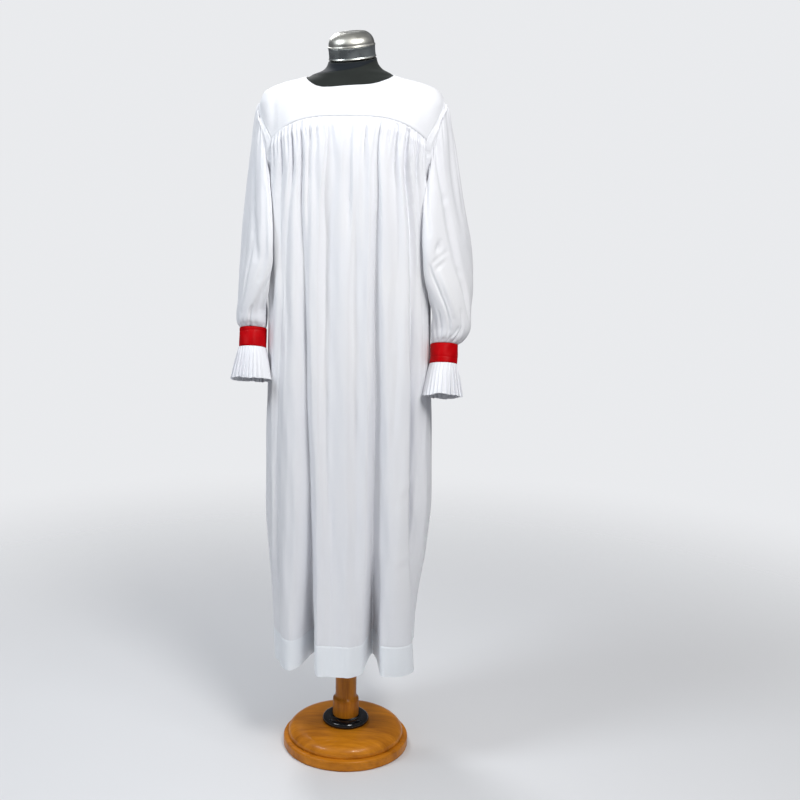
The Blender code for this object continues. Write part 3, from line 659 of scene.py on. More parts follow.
def shell(name, grid, material, closed=False, flip=False, skin=SKIN):
    """A thin cloth whose outer face is the grid. closed joins its last column to its first."""
    rows, columns = grid.shape[:2]
    out = facing_out(grid, closed) * (-1 if flip else 1)
    points = np.concatenate([grid.reshape(-1, 3), (grid - out * skin).reshape(-1, 3)])
    spans = columns if closed else columns - 1
    r = np.repeat(np.arange(rows - 1), spans)
    c = np.tile(np.arange(spans), rows - 1)
    e = np.arange(spans)
    last = 0 * e + rows - 1
    # Each part has the rows, columns and faces, 0 the outer and 1 the inner, of its quads' corners
    parts = [
        ([r, r + 1, r + 1, r], [c, c, c + 1, c + 1], [0, 0, 0, 0]),
        ([r, r, r + 1, r + 1], [c, c + 1, c + 1, c], [1, 1, 1, 1]),
        ([0 * e] * 4, [e, e + 1, e + 1, e], [0, 0, 1, 1]),
        ([last] * 4, [e + 1, e, e, e + 1], [0, 0, 1, 1]),
    ]
    if not closed:
        s = np.arange(rows - 1)
        parts.append(([s, s, s + 1, s + 1], [0 * s] * 4, [0, 1, 1, 0]))
        parts.append(([s + 1, s + 1, s, s], [0 * s + spans] * 4, [0, 1, 1, 0]))
    face_rows = np.concatenate([np.stack(part[0], -1) for part in parts])
    face_columns = np.concatenate([np.stack(part[1], -1) for part in parts])
    inner = np.concatenate([np.broadcast_to(part[2], (len(part[0][0]), 4)) for part in parts])
    faces = face_rows * columns + face_columns % columns + inner * rows * columns
    if flip:
        faces, face_rows, face_columns = (a[:, ::-1] for a in (faces, face_rows, face_columns))
    thing = new_object(name, points, faces, material)
    across, low, top = cloth_lengths(grid, closed)
    for layer, height in (("from_low_edge", low), ("from_top_edge", top)):
        uv = np.stack([across[face_rows, face_columns], height[face_rows, face_columns]], -1)
        made = thing.data.uv_layers.new(name=layer)
        made.data.foreach_set("uv", uv.reshape(-1).astype(np.float32))
    thing.data.set_sharp_from_angle(angle=math.radians(70))
    return thing


def pair(stem, grid_of, material, skin=SKIN):
    """The same piece on both sides: worked out on the wearer's left, and mirrored for the other side."""
    for side, sign in SIDE.items():
        shell(f"{stem}_{side}", grid_of(side) * (sign, 1, 1), material, closed=True, flip=sign > 0, skin=skin)


def circle(radius, z, sides):
    turn = np.arange(sides) * TURN / sides
    return np.stack([radius * np.cos(turn), radius * np.sin(turn), z + 0 * turn], -1)


def turned(name, rings, material, sharp=60):
    """A closed body from rings of points, listed upwards, with a flat face at each end."""
    sides = len(rings[0])
    row = np.repeat(np.arange(len(rings) - 1), sides) * sides
    column = np.tile(np.arange(sides), len(rings) - 1)
    after = (column + 1) % sides
    faces = np.stack([row + column, row + after, row + sides + after, row + sides + column], -1).tolist()
    faces.append(list(range(sides))[::-1])
    top = (len(rings) - 1) * sides
    faces.append(list(range(top, top + sides)))
    thing = new_object(name, np.concatenate(rings), faces, material)
    thing.data.set_sharp_from_angle(angle=math.radians(sharp))
    return thing


def lathe(name, rim, foot, inset, steps, material, sides=128, straight=()):
    """A turned body. inset lists how far in from the rim and how far above the foot its profile runs.

    straight adds rings above it, each as (radius, height).
    """
    corners = np.array([(rim - inward, foot + up) for inward, up in inset])
    knots = travelled(np.linalg.norm(np.diff(corners, axis=0), axis=1))
    at = np.linspace(0, knots[-1], steps)
    profile = list(zip(curve(at, knots, corners[:, 0]), curve(at, knots, corners[:, 1])))
    return turned(name, [circle(radius, z, sides) for radius, z in [*profile, *straight]], material)


# Materials

class Nodes:
    """Short ways to add and join the nodes of a material or a world."""

    def __init__(self, tree):
        self.tree = tree

    def join(self, value, socket):
        if isinstance(value, bpy.types.NodeSocket):
            self.tree.links.new(value, socket)
        else:
            socket.default_value = value

    def node(self, kind, settings=None, **inputs):
        """Adds a node. An input goes by its socket's name, or by i and the socket's number."""
        made = self.tree.nodes.new(kind)
        for key, value in (settings or {}).items():
            setattr(made, key, value)
        for key, value in inputs.items():
            self.join(value, made.inputs[int(key[1:]) if key[1:].isdigit() else key])
        return made

    def math(self, operation, *values):
        inputs = {f"i{k}": value for k, value in enumerate(values)}
        return self.node("ShaderNodeMath", {"operation": operation}, **inputs).outputs[0]

    def mix(self, share, first, second, blend="MIX"):
        settings = {"data_type": "RGBA", "blend_type": blend}
        return self.node("ShaderNodeMix", settings, i0=share, i6=first, i7=second).outputs[2]

    def ramp(self, value, *stops):
        made = self.node("ShaderNodeValToRGB", Fac=value)
        elements = made.color_ramp.elements
        while len(elements) < len(stops):
            elements.new(0.5)
        for element, (place, colour) in zip(elements, stops):
            element.position = place
            element.color = (*colour, 1)
        return made.outputs["Color"]

    def noise(self, vector, scale, detail=3.0, roughness=0.5, distortion=0.0):
        inputs = {"Scale": scale, "Detail": detail, "Roughness": roughness, "Distortion": distortion}
        return self.node("ShaderNodeTexNoise", Vector=vector, **inputs).outputs["Fac"]

    def coordinates(self, scale=(1, 1, 1)):
        place = self.node("ShaderNodeTexCoord").outputs["Object"]
        return self.node("ShaderNodeMapping", Vector=place, Scale=scale).outputs[0]

    def along(self, edge):
        """How far across the cloth a point lies, and how far from one of its edges."""
        place = self.node("ShaderNodeUVMap", {"uv_map": edge}).outputs[0]
        return self.node("ShaderNodeSeparateXYZ", Vector=place).outputs[:2]


class Finish(Nodes):
    """A material with a Principled shader."""

    def __init__(self, name, colour, roughness, **settings):
        self.material = bpy.data.materials.new(name)
        self.material.use_nodes = True
        super().__init__(self.material.node_tree)
        self.shader = self.tree.nodes["Principled BSDF"]
        self.shader.inputs["Base Color"].default_value = (*colour, 1)
        self.shader.inputs["Roughness"].default_value = roughness
        for socket, value in settings.items():
            self.shader.inputs[socket.replace("_", " ")].default_value = value
        self.last_bump = None

    def colour(self, socket):
        self.join(socket, self.shader.inputs["Base Color"])

    def rough(self, value, low, high, start=0.3, end=0.7):
        """Roughness that runs from low to high as a noise goes from start to end."""
        self.join(self.ramp(value, (start, (low,) * 3), (end, (high,) * 3)), self.shader.inputs["Roughness"])

    def bump(self, height, distance, strength=1.0):
        made = self.node("ShaderNodeBump", Height=height, Distance=distance, Strength=strength)
        if self.last_bump:
            self.join(self.last_bump, made.inputs["Normal"])
        self.last_bump = made.outputs[0]
        self.join(self.last_bump, self.shader.inputs["Normal"])


def weave(finish, distance):
    """A plain weave: threads over and under each other, along the cloth's own width and length."""
    turns = [finish.math("MULTIPLY", way, TURN / THREAD) for way in finish.along("from_low_edge")]
    waves = [finish.math("SINE", turn) for turn in turns]
    finish.bump(finish.math("MULTIPLY_ADD", finish.math("MULTIPLY", *waves), 0.5, 0.5), distance, 0.6)


def stitches(finish, lines):
    """Rows of machine stitches, each at a distance from the lower or upper edge."""
    total = 0.0
    for edge, distance in lines:
        across, up = finish.along(edge)
        off = finish.math("ABSOLUTE", finish.math("SUBTRACT", up, distance))
        near = finish.math("MINIMUM", finish.math("DIVIDE", off, STITCH_WIDE), 1.0)
        phase = finish.math("FRACT", finish.math("DIVIDE", across, STITCH_LENGTH))
        dash = finish.math("SINE", finish.math("MULTIPLY", phase, math.pi))
        dash = finish.math("SUBTRACT", dash, 0.75)
        total = finish.math("ADD", total, finish.math("MULTIPLY", finish.math("SUBTRACT", 1.0, near), dash))
    if lines:
        finish.bump(total, 0.0005, 0.8)


def poplin(name, lines=(), hem=0.0):
    """White cotton and polyester poplin: a fine plain weave with a faint bluish cast and a soft sheen.

    hem is how deep the turned-up edge is, which looks whiter and cooler because it is double.
    """
    finish = Finish(
        name, (0.83, 0.845, 0.875), 0.78, Sheen_Weight=0.12, Sheen_Roughness=0.45, Specular_IOR_Level=0.3
    )
    place = finish.coordinates()
    cast = finish.noise(place, 5.0, 2.0)
    cloth = finish.ramp(cast, (0.3, (0.795, 0.805, 0.845)), (0.7, (0.825, 0.83, 0.855)))
    if hem:
        double = finish.math("LESS_THAN", finish.along("from_low_edge")[1], hem)
        cloth = finish.mix(double, cloth, (0.85, 0.88, 0.915, 1))
    finish.colour(cloth)
    finish.rough(finish.noise(place, 220.0, 2.0), 0.72, 0.84)
    finish.bump(finish.noise(place, 70.0, 3.0, 0.55), 0.0006, 0.35)
    weave(finish, 0.00006)
    stitches(finish, lines)
    return finish.material


def satin(name):
    """Red satin for the wristbands."""
    finish = Finish(
        name, (0.46, 0.0, 0.002), 0.46, Sheen_Weight=0.06, Sheen_Roughness=0.35,
        Sheen_Tint=(1.0, 0.05, 0.04, 1), Specular_IOR_Level=0.08,
    )
    place = finish.coordinates()
    shade = finish.noise(place, 45.0)
    finish.colour(finish.ramp(shade, (0.3, (0.42, 0.0, 0.002)), (0.72, (0.52, 0.0, 0.003))))
    finish.rough(finish.noise(place, 120.0), 0.36, 0.50)
    finish.bump(finish.noise(place, 60.0), 0.0008, 0.5)
    weave(finish, 0.00005)
    stitches(finish, (("from_low_edge", BAND_STITCH), ("from_top_edge", BAND_STITCH)))
    return finish.material


def jersey(name, colour, knit_strength):
    """The form's fine black knit cover."""
    finish = Finish(name, colour, 0.82, Sheen_Weight=0.14, Sheen_Roughness=0.4, Specular_IOR_Level=0.22)
    place = finish.coordinates()
    lighter = tuple(c * 1.5 + 0.002 for c in colour)
    finish.colour(finish.ramp(finish.noise(place, 14.0), (0.3, colour), (0.75, lighter)))
    wales = finish.node(
        "ShaderNodeTexWave", {"wave_type": "BANDS", "bands_direction": "X"}, Vector=place, Scale=420.0,
        Distortion=1.5, Detail=2.0,
    )
    finish.bump(wales.outputs["Fac"], 0.0002, knit_strength)
    finish.bump(finish.noise(place, 900.0), 0.0002, 0.4)
    return finish.material


def varnished(name, grain_stretch):
    """Honey-coloured wood under gloss varnish: fine dark grain, broad figure and a few flecks."""
    finish = Finish(
        name, (0.52, 0.17, 0.012), 0.40, Specular_IOR_Level=0.14, Coat_Weight=0.18, Coat_Roughness=0.14,
        Coat_IOR=1.45,
    )
    place = finish.coordinates(grain_stretch)
    figure = finish.noise(place, 7.0, 4.0, 0.6, 0.8)
    fine = finish.noise(place, 60.0, 5.0, 0.65, 0.4)
    fleck = finish.noise(place, 24.0, 6.0, 0.75, 1.2)
    both = finish.math("MULTIPLY_ADD", fine, 0.38, finish.math("MULTIPLY", figure, 0.62))
    base = finish.ramp(
        both, (0.30, (0.27, 0.078, 0.003)), (0.46, (0.45, 0.150, 0.007)), (0.60, (0.59, 0.212, 0.012)),
        (0.75, (0.69, 0.275, 0.020)),
    )
    dark = finish.ramp(fleck, (0.60, (1.0, 1.0, 1.0)), (0.72, (0.45, 0.38, 0.32)))
    finish.colour(finish.mix(0.75, base, dark, "MULTIPLY"))
    finish.rough(fine, 0.30, 0.46)
    finish.bump(fine, 0.0003, 0.25)
    return finish.material


def gloss(name):
    """The glossy black ring, with fine scuffs."""
    finish = Finish(
        name, (0.005, 0.005, 0.006), 0.09, Specular_IOR_Level=0.35, Coat_Weight=0.2, Coat_Roughness=0.05
    )
    place = finish.coordinates()
    finish.rough(finish.noise(place, 160.0, 4.0), 0.07, 0.22, 0.45, 0.8)
    finish.bump(finish.noise(place, 50.0), 0.0004, 0.08)
    return finish.material


def metal(name, colour, roughness):
    """Spun and polished metal, with fine rings left by the turning."""
    finish = Finish(name, colour, roughness, Metallic=1.0, Anisotropic=0.35)
    wear = finish.noise(finish.coordinates(), 35.0, 4.0)
    finish.rough(wear, roughness * 0.8, roughness * 1.35, 0.35, 0.7)
    finish.colour(finish.ramp(wear, (0.3, tuple(c * 0.86 for c in colour)), (0.6, colour)))
    finish.bump(finish.noise(finish.coordinates((1, 1, 60)), 12.0), 0.0003, 0.12)
    return finish.material


# The body of the rochet

def fold_at(folds, name, z):
    """A fold's value at each height, in metres. The last axis is the fold."""
    places = [place for place in LEVELS if f"{name}_{place}" in folds]
    knots = np.array([LEVELS[place] for place in places])
    values = np.stack([folds[f"{name}_{place}"] for place in places], -1) / 1000
    return np.stack([curve(z, knots, v) for v in values], -1)


class Panel:
    """The front or back of the body: a gathered sheet from the yoke and armholes to the hem."""

    def __init__(self, facing, folds):
        self.facing = facing
        self.all_folds = folds
        self.lasting = {name: column[folds["count"] > 0] for name, column in folds.items()}
        self.corner = armhole(ARMHOLE_CORNER)[0]

    def tops(self):
        """(angle, z, gather count) of each column's top, from one underarm round to the other."""
        side_angle, side_z = armhole(np.linspace(math.pi, ARMHOLE_CORNER, BODY_SIDE_STEPS + 1)[:-1])
        gathers = np.arange(GATHERS * BODY_STEPS + 1) / BODY_STEPS
        middle = self.seam_angle(gathers)
        angle = np.concatenate([-side_angle, middle, side_angle[::-1]])
        z = np.concatenate([side_z, seam_places(middle), side_z[::-1]])
        ends = np.linspace(-1, 0, BODY_SIDE_STEPS + 1)[:-1] * SIDE_COUNT
        return angle, z, np.concatenate([ends, gathers, GATHERS - ends[::-1]])

    def seam_angle(self, count):
        return self.corner * (2 * count / GATHERS - 1)

    def lasting_angle(self, z, count):
        """Where a column runs once the folds have formed: crowded towards the deep valleys."""
        places = angle_of(z[..., None], fold_at(self.lasting, "x", z))
        edge = np.full(z.shape + (1,), math.pi / 2)
        places = np.concatenate([-edge, places, edge], -1)
        depth = fold_at(self.lasting, "deep", z)
        crowd = np.concatenate([1 + 0 * edge, 1 / (1 + depth / 0.02), 1 + 0 * edge], -1)
        marks = np.concatenate([[-SIDE_COUNT], self.lasting["count"], [GATHERS + SIDE_COUNT]])
        cell = np.clip(np.searchsorted(marks, count, side="right") - 1, 0, len(marks) - 2)
        t = (count - marks[cell]) / (marks[cell + 1] - marks[cell])
        cell = np.broadcast_to(cell, z.shape)[..., None]
        start, end = (np.take_along_axis(places, cell + step, -1)[..., 0] for step in (0, 1))
        slow, late = (np.take_along_axis(crowd, cell + step, -1)[..., 0] for step in (0, 1))
        share = (t**3 - 2 * t**2 + t) * slow + (3 * t**2 - 2 * t**3) + (t**3 - t**2) * late
        return start + (end - start) * share

    def dips(self, bare, angle, z, below, settled):
        """How far the folds pull the cloth in at each point. They start narrow at the gathers."""
        total = np.zeros(z.shape)
        opened = 0.30 + 0.70 * ease(below / 0.17)
        grown = ease(below / 0.014) * (0.40 + 0.60 * ease(below / 0.13))
        folds = self.all_folds
        place, deep, left, right = (fold_at(folds, name, z) for name in ("x", "deep", "left", "right"))
        for k, (count, soft) in enumerate(zip(folds["count"], folds["soft"])):
            mark_angle = angle_of(z, place[..., k])
            if count > 0:
                start = self.seam_angle(count)
                mark_angle = start + (mark_angle - start) * settled
            depth = deep[..., k] * grown
            wide = np.where(angle < mark_angle, left[..., k], right[..., k]) * opened
            off = np.linalg.norm(bare - outline(z, mark_angle, self.facing), axis=-1)
            blunt = 0.002 + 0.05 * np.abs(depth)
            near = np.clip(1 - (np.hypot(off, blunt) - blunt) / wide, 0, 1)
            total += depth * near**2 * (1 + soft * (2 - 2 * near))
        return total

    def gathered(self, count, below):
        """How deep the small gathers are pulled in below the seam."""
        place = SMALL_GATHERS["place"]
        reach = SMALL_GATHERS["reach"] / 100
        deep = SMALL_GATHERS["deep"] / 1000
        if self.facing < 0:
            place, reach, deep = (GATHERS - place)[::-1], reach[::-1], deep[::-1]
        after = np.clip(np.searchsorted(place, count[0]), 1, len(place) - 1)
        share = np.clip((count[0] - place[after - 1]) / (place[after] - place[after - 1]), 0, 1)
        nearest = np.where(share < 0.5, after - 1, after)
        valley = np.abs(1 - 2 * share) ** 1.5
        fade = 1 - ease((below - 0.20 * reach[nearest]) / (0.9 * reach[nearest]))
        grown = 0.45 + 0.55 * ease(below / 0.012)
        small = (1 - np.cos(2 * TURN * share)) * 0.0006 * (1 - ease(below / 0.026))
        return deep[nearest] * valley * grown * fade + small

    def grid(self):
        angle, top, count = self.tops()
        top = top - SEAM_GAP
        length = SEAM_TOP_Z - HEM_Z

        def spacing(b):
            at_seam = 0.0011 + 0.0080 * ease(b / SETTLES_BY)
            at_stitch = 0.0012 + 0.0080 * ease((np.abs(b - (length - HEM_DEEP)) - 0.004) / 0.03)
            at_edge = 0.0014 + 0.0080 * ease((length - b) / 0.03)
            return np.minimum(np.minimum(at_seam, at_stitch), at_edge)

        within = ease(np.minimum(count, GATHERS - count) + 0.5)
        start = top - 0.0006 * (1 - within)
        z = start + (HEM_Z - start) * spaced(length, spacing, BODY_ROWS)[:, None] / length
        edge_row = top + 0.0012 * within - 0.0003 * (1 - within)
        z = np.concatenate([(top + TUCK * within)[None], edge_row[None], z])
        below = top - z
        count = count + 0 * z
        settled = ease((below - 0.005) / SETTLES_BY)
        angle = angle + (self.lasting_angle(z, count) - angle) * settled
        bare = outline(z, angle, self.facing)
        inward = unit(-facing_out(bare) * self.facing * (1, 1, 0))
        edge_fade = ease((np.abs(bare[..., 1]) - 0.004) / 0.035)
        fade = 1 - ease((below - LIFT_FADES_FROM) / (LIFT_FADES_BY - LIFT_FADES_FROM))
        grown = (0.20 + 0.80 * ease(below / 0.022)) * ease((below + 0.0008) / 0.0020)
        lift = LIFT * grown * fade * within
        gathered = np.minimum(self.gathered(count, below) * within, lift + 0.0004)
        under_yoke = 0.0011 * within * (1 - ease((below + 0.0003) / 0.004))
        rise = CLOTH - under_yoke + lift - gathered
        dip = self.dips(bare, angle, z, below, settled) * edge_fade
        # A fold is pulled nearly straight back, even where the cloth faces sideways
        ahead = unit(np.stack([inward[..., 0] ** 3, inward[..., 1], inward[..., 2]], -1))
        points = bare + ahead * dip[..., None] - inward * rise[..., None]
        points = self.detailed(points, count, below, edge_fade)
        points = clear_of_form(points, np.where(below < 0.006, FORM_GAP + SKIN, CLOTH + FORM_GAP))
        points[:, [0, -1], 1] = -self.facing * SEAM_GAP / 2
        return points

    def detailed(self, points, count, below, edge_fade):
        """Adds soft ripples, creases, the hem's stitched line and its puckers."""
        x, _, z = np.moveaxis(points, -1, 0)
        ripple = 0.0005 * np.sin(TURN * (count * 0.41 + z * 1.7) + 1.3 * self.facing)
        ripple += 0.0004 * np.sin(TURN * (count * 0.83 - z * 2.9) + 0.6)
        ripple += 0.0004 * np.sin(TURN * (x * 34 + z * 5.3) + 2.1)
        rise = ripple * ease((below - 0.12) / 0.25)
        if self.facing > 0:
            rise += creases(points, BODY_CREASES)
        up = z - HEM_Z - HEM_DEEP
        rise -= 0.0010 * ridge(up, 0.0016)
        pucker = np.sin(TURN * count * 1.9) * np.sin(TURN * count * 0.31 + 0.5)
        rise += 0.0007 * pucker * ridge(up, 0.012)
        rise += 0.0005 * (1 - ease(up / 0.002))
        return points + facing_out(points) * self.facing * (rise * edge_fade)[..., None]


# The yoke

def yoke_grid(facing):
    """From the neck hole to the gathered seam and the armholes. Columns run from shoulder to shoulder."""
    corner_angle = armhole(ARMHOLE_CORNER)[0]
    middle = np.linspace(-corner_angle, corner_angle, YOKE_STEPS + 1)
    arm_angle, arm_z = armhole(np.linspace(0, ARMHOLE_CORNER, YOKE_SIDE_STEPS + 1)[:-1])
    angle = np.concatenate([-arm_angle, middle, arm_angle[::-1]])
    z = np.concatenate([arm_z, seam_places(middle), arm_z[::-1]])
    neck_angle, neck_z = neck_places(np.linspace(-math.pi / 2, math.pi / 2, len(angle)), facing)
    heights = np.linspace(INSIDE["z"][0], INSIDE["z"][-1], 3000)
    steps = sum(np.diff(level(INSIDE, name, heights)) ** 2 for name in ("half_width", "front"))
    girth = travelled(np.sqrt(steps + np.diff(heights) ** 2))
    share = np.linspace(0, 1, YOKE_ROWS)[:, None]
    share = share - 0.11 * np.sin(TURN * share) / 2
    reach = np.interp(neck_z, heights, girth) * (1 - share) + np.interp(z, heights, girth) * share
    turn = neck_angle * (1 - share) + angle * share
    bare = outline(np.interp(reach, girth, heights), turn, facing)
    out = facing_out(bare) * facing
    grid = bare + out * CLOTH
    grid = grid + out * yoke_relief(grid, facing)[..., None]
    grid[:, [0, -1], 1] = -facing * SEAM_GAP / 2
    return grid


def yoke_relief(grid, facing):
    """The rolled neck edge, its stitches, the seam's ridge, the shoulder seams and a few drag creases."""
    _, low, top = cloth_lengths(grid)
    x, y, z = np.moveaxis(grid, -1, 0)
    rise = -0.0011 * (1 - ease(top / 0.0028)) - 0.0004 * ridge(top - NECK_STITCH, 0.0012)
    rise += 0.0006 * ridge(low - 0.0045, 0.004) - 0.0005 * (1 - ease(low / 0.0012))
    rise += 0.0004 * ridge(np.abs(y) - 0.005, 0.003) - 0.0008 * (1 - ease(np.abs(y) / 0.0022))
    rise += 0.0005 * np.sin(TURN * (x * 9 + z * 6)) * np.sin(math.pi * np.clip(top / 0.06, 0, 1))
    if facing > 0:
        return rise + creases(grid, YOKE_CREASES)
    return rise + 0.6 * creases(grid * (-1, 1, 1), YOKE_CREASES)


# The sleeves and cuffs

def cuff_ring(wrist, down, radius, turns):
    """A ring round the wrist's axis, which leans so that the cuff's mouth looks forward and down."""
    along = np.array([0, -math.sin(CUFF_TILT), -math.cos(CUFF_TILT)])
    front = np.array([0, -math.cos(CUFF_TILT), math.sin(CUFF_TILT)])
    start = np.array([0, -wrist.forward, wrist.z])
    ring = start + np.asarray(down)[..., None] * along + (radius * np.sin(turns))[..., None] * front
    ring[..., 0] = wrist.x + radius * np.cos(turns)
    return ring


def sleeve_rings(wrist, turns):
    """The sleeve's main rings from the armhole to the wristband, for the wearer's left.

    Turn 0 is the outer edge, and a quarter turn is the front.
    """
    ahead = turns <= math.pi
    angle, z = armhole(np.where(ahead, turns, TURN - turns))
    head = np.where(ahead[:, None], outline(z, angle, 1), outline(z, angle, -1))
    head[np.abs(np.sin(turns)) < 1e-9, 1] = 0
    head[:, 0] += CLOTH + SLEEVE_OFF
    collar = head + np.stack([0.0012 + 0 * turns, 0 * turns, -0.006 * np.cos(turns)], -1)
    rings = [head, collar]
    rows = rows_of(SLEEVE)
    for k, row in enumerate(rows):
        low = ease((k - 1) / 5)
        lower = wrist.drop * k / (len(rows) - 1)
        outer = np.array([row.outer_x + wrist.wider * low, row.outer_z - lower])
        inner = np.array([row.inner_x + wrist.inner * low, row.inner_z - lower])
        middle = (outer + inner) / 2
        reach = (outer - inner) / 2
        x = middle[0] + reach[0] * np.cos(turns + math.radians(row.turn))
        y = -row.forward - (wrist.forward - USUAL_FORWARD) * low - row.half_depth * np.sin(turns)
        raised = 0.26 * ease((k - 3) / 4) * row.half_depth * np.sin(turns)
        rings.append(np.stack([x, y, middle[1] + reach[1] * np.cos(turns) + raised], -1))
    for (up, ahead), x in (
        (PUFF, wrist.lean + wrist.puff * np.cos(turns)),
        (NECKING, 0.4 * wrist.lean + (BAND_RADIUS + NECKING_WIDER) * np.cos(turns)),
        ((0.0, 0.0), BAND_RADIUS * np.cos(turns)),
    ):
        ring = cuff_ring(wrist, -up, BAND_RADIUS + ahead, turns)
        ring[:, 0] = wrist.x + x
        rings.append(ring)
    return np.array(rings)


def valleys(turns, number, seed, keen):
    """The nearest of a ring of uneven gathers: how near it is, from 0 to 1, and which one."""
    places = (np.arange(number) + 0.5 * (uneven(number, seed) - 0.5)) * TURN / number
    gap = (turns[:, None] - places[None] + math.pi) % TURN - math.pi
    which = np.argmin(np.abs(gap), axis=1)
    off = np.abs(gap[np.arange(len(turns)), which])
    return np.clip(1 - off / (math.pi / number), 0, 1) ** keen, which


def sleeve_relief(side, turns, down):
    """Head and wrist gathers and the sleeve's own folds, as a height over the plain sleeve."""
    other = int(side == "right")
    near, which = valleys(turns, HEAD_GATHERS, 11 + other, 1.3)
    reach = 0.030 + 0.100 * uneven(HEAD_GATHERS, 21 + other)[which]
    high = 0.0034 + 0.0022 * uneven(HEAD_GATHERS, 31)[which]
    top = ease((np.cos(turns) + 0.80) / 0.5)
    fade = 1 - ease((down - 0.25 * reach) / (0.8 * reach))
    rise = (0.0004 + (0.45 - near) * high) * fade * top * ease(down / 0.024)
    length = down[-1]
    up = length - down
    number = WRIST_GATHERS[side]
    near, which = valleys(turns, number, 13 + other, 1.2)
    reach = 0.020 + 0.045 * uneven(number, 23 + other)[which]
    deep = 0.0016 + 0.0018 * uneven(number, 33)[which]
    fade = 1 - ease((up - 0.2 * reach) / (0.8 * reach))
    rise = rise - near * deep * fade * ease((up - 0.0005) / 0.008)
    around = SLEEVE_RADIUS * math.pi / 180
    for fold in rows_of(SLEEVE_FOLDS[side]):
        start = (fold.turn_from * around, fold.share_from * length[0])
        end = (fold.turn_to * around, fold.share_to * length[0])
        pressed = [
            stroke((np.degrees(turns) + wrap) * around, down, start, end, fold.wide / 1000, 0.10, 0.7)
            for wrap in (-360, 0, 360)
        ]
        rise = rise - np.max(pressed, axis=0) * fold.deep / 1000
    share = down / length
    wobble = np.sin(3 * turns + 9 * share) + 0.7 * np.sin(5 * turns - 14 * share + 1.0)
    wobble = wobble + 0.5 * np.sin(11 * turns + 23 * share + 2.0)
    return rise + 0.0008 * wobble * ease(share / 0.2) * ease((1 - share) / 0.1)


def sleeve_grid(side):
    columns = 6 * HEAD_GATHERS
    turns = np.arange(columns) * TURN / columns
    rings = sleeve_rings(WRISTS[side], turns)
    knots = travelled(np.linalg.norm(np.diff(rings, axis=0), axis=-1).mean(1))
    length = knots[-1]

    def spacing(b):
        return 0.0011 + 0.0046 * ease(b / 0.06) * ease((length - b) / 0.07)

    down = spaced(length, spacing, SLEEVE_ROWS)
    grid = curve(down, knots, rings, np.gradient(rings, knots, axis=0))
    grid = grid - facing_out(grid, True) * sleeve_relief(side, turns, down[:, None])[..., None]
    free = down > 0.012
    grid[free] = clear_of_body(grid[free], SIDE[side])
    return np.concatenate([grid[:1] - (SLEEVE_TUCK, 0, 0), grid])


def band_grid(side):
    """A red band with rolled edges, one end lapped over the other, and a pressed crease."""
    turns = np.arange(BAND_COLUMNS) * TURN / BAND_COLUMNS
    share = np.linspace(0, 1, BAND_ROWS)[:, None]
    down = SEAM_GAP + (BAND_HEIGHT - SEAM_GAP) * (share - 0.10 * np.sin(TURN * share) / 2)
    edge = np.minimum(down - SEAM_GAP, BAND_HEIGHT - down)
    past = (turns - BAND_LAP[side]) / math.radians(26)
    bend = BAND_CREASE[side] + 0.0012 * np.sin(2 * turns + 0.5)
    radius = BAND_RADIUS + 0.0004 - 0.0011 * (1 - ease(edge / 0.0022))
    radius = radius + 0.0009 * (past > 0) * (1 - ease(past))
    radius -= 0.0007 * ridge(down - bend, 0.0013) * ease((np.sin(turns) + 0.4) / 0.8)
    radius += 0.0004 * np.sin(3 * turns + 90 * down) + 0.0003 * np.sin(7 * turns - 160 * down)
    return cuff_ring(WRISTS[side], down, radius, turns)


def ruffle_grid(side):
    """A knife-pleated frill, whose pleats open towards the mouth."""
    steps = len(PLEAT_PATH["round"])
    which = np.repeat(np.arange(PLEATS), steps)
    seed = 40 if side == "left" else 50
    high = 0.80 + 0.40 * uneven(PLEATS, seed)[which]
    lean = 0.30 * (uneven(PLEATS, seed + 1)[which] - 0.5)
    end = 0.0020 * (uneven(PLEATS, seed + 2)[which] - 0.5)
    rise = np.tile(PLEAT_PATH["rise"], PLEATS)
    pleated = np.tile(PLEAT_PATH["round"], PLEATS) - 0.5
    plain = np.tile(np.arange(steps) / steps, PLEATS) - 0.5
    share = np.linspace(0, 1, RUFFLE_ROWS)[:, None] ** 1.15
    folded = 0.55 + 0.45 * ease(share / 0.3)
    turns = (which + 0.5 + pleated * folded + (1 - folded) * plain + lean * share) * TURN / PLEATS
    swing = 0.0014 * share * np.sin(2 * turns + seed) + 0.0009 * share * np.sin(5 * turns + 2 * seed)
    down = BAND_HEIGHT + SEAM_GAP + share * (RUFFLE_LENGTH + end + 0.0012 * np.sin(3 * turns + seed))
    radius = BAND_RADIUS + 0.0006 + (RUFFLE_MOUTH - BAND_RADIUS) * share**0.85 + swing
    deep = PLEAT_RISE * (0.30 + 0.85 * share) * (0.25 + 0.75 * ease(share / 0.05))
    return cuff_ring(WRISTS[side], down, radius - deep * (1 - rise) * high, turns)


# The form and its stand

def form_ring(z, off=0.0):
    """A level of the form, whose neck leans with the cap. off is how far outside it the ring lies."""
    turns = np.arange(FORM_COLUMNS) * TURN / FORM_COLUMNS
    power = 2 / level(FORM, "squareness", z)
    x = (level(FORM, "half_width", z) + off) * powered(np.cos(turns), power)
    y = (reach_at(FORM, np.sin(turns) < 0, z) + off) * powered(np.sin(turns), power)
    lean = ease((z - LEANS_FROM) / LEANS_OVER) * (x * math.tan(CAP_TILT) + y * math.tan(CAP_NOD))
    return np.stack([x, y, z + lean], -1)


def torso(material):
    stretches = ((FORM["z"][0], 0.852, 8), (0.86, 1.56, 56), (1.566, NECK_TOP, 44))
    heights = np.concatenate([np.linspace(*stretch) for stretch in stretches])
    turned("form_cover", [form_ring(z) for z in heights], material, 50)


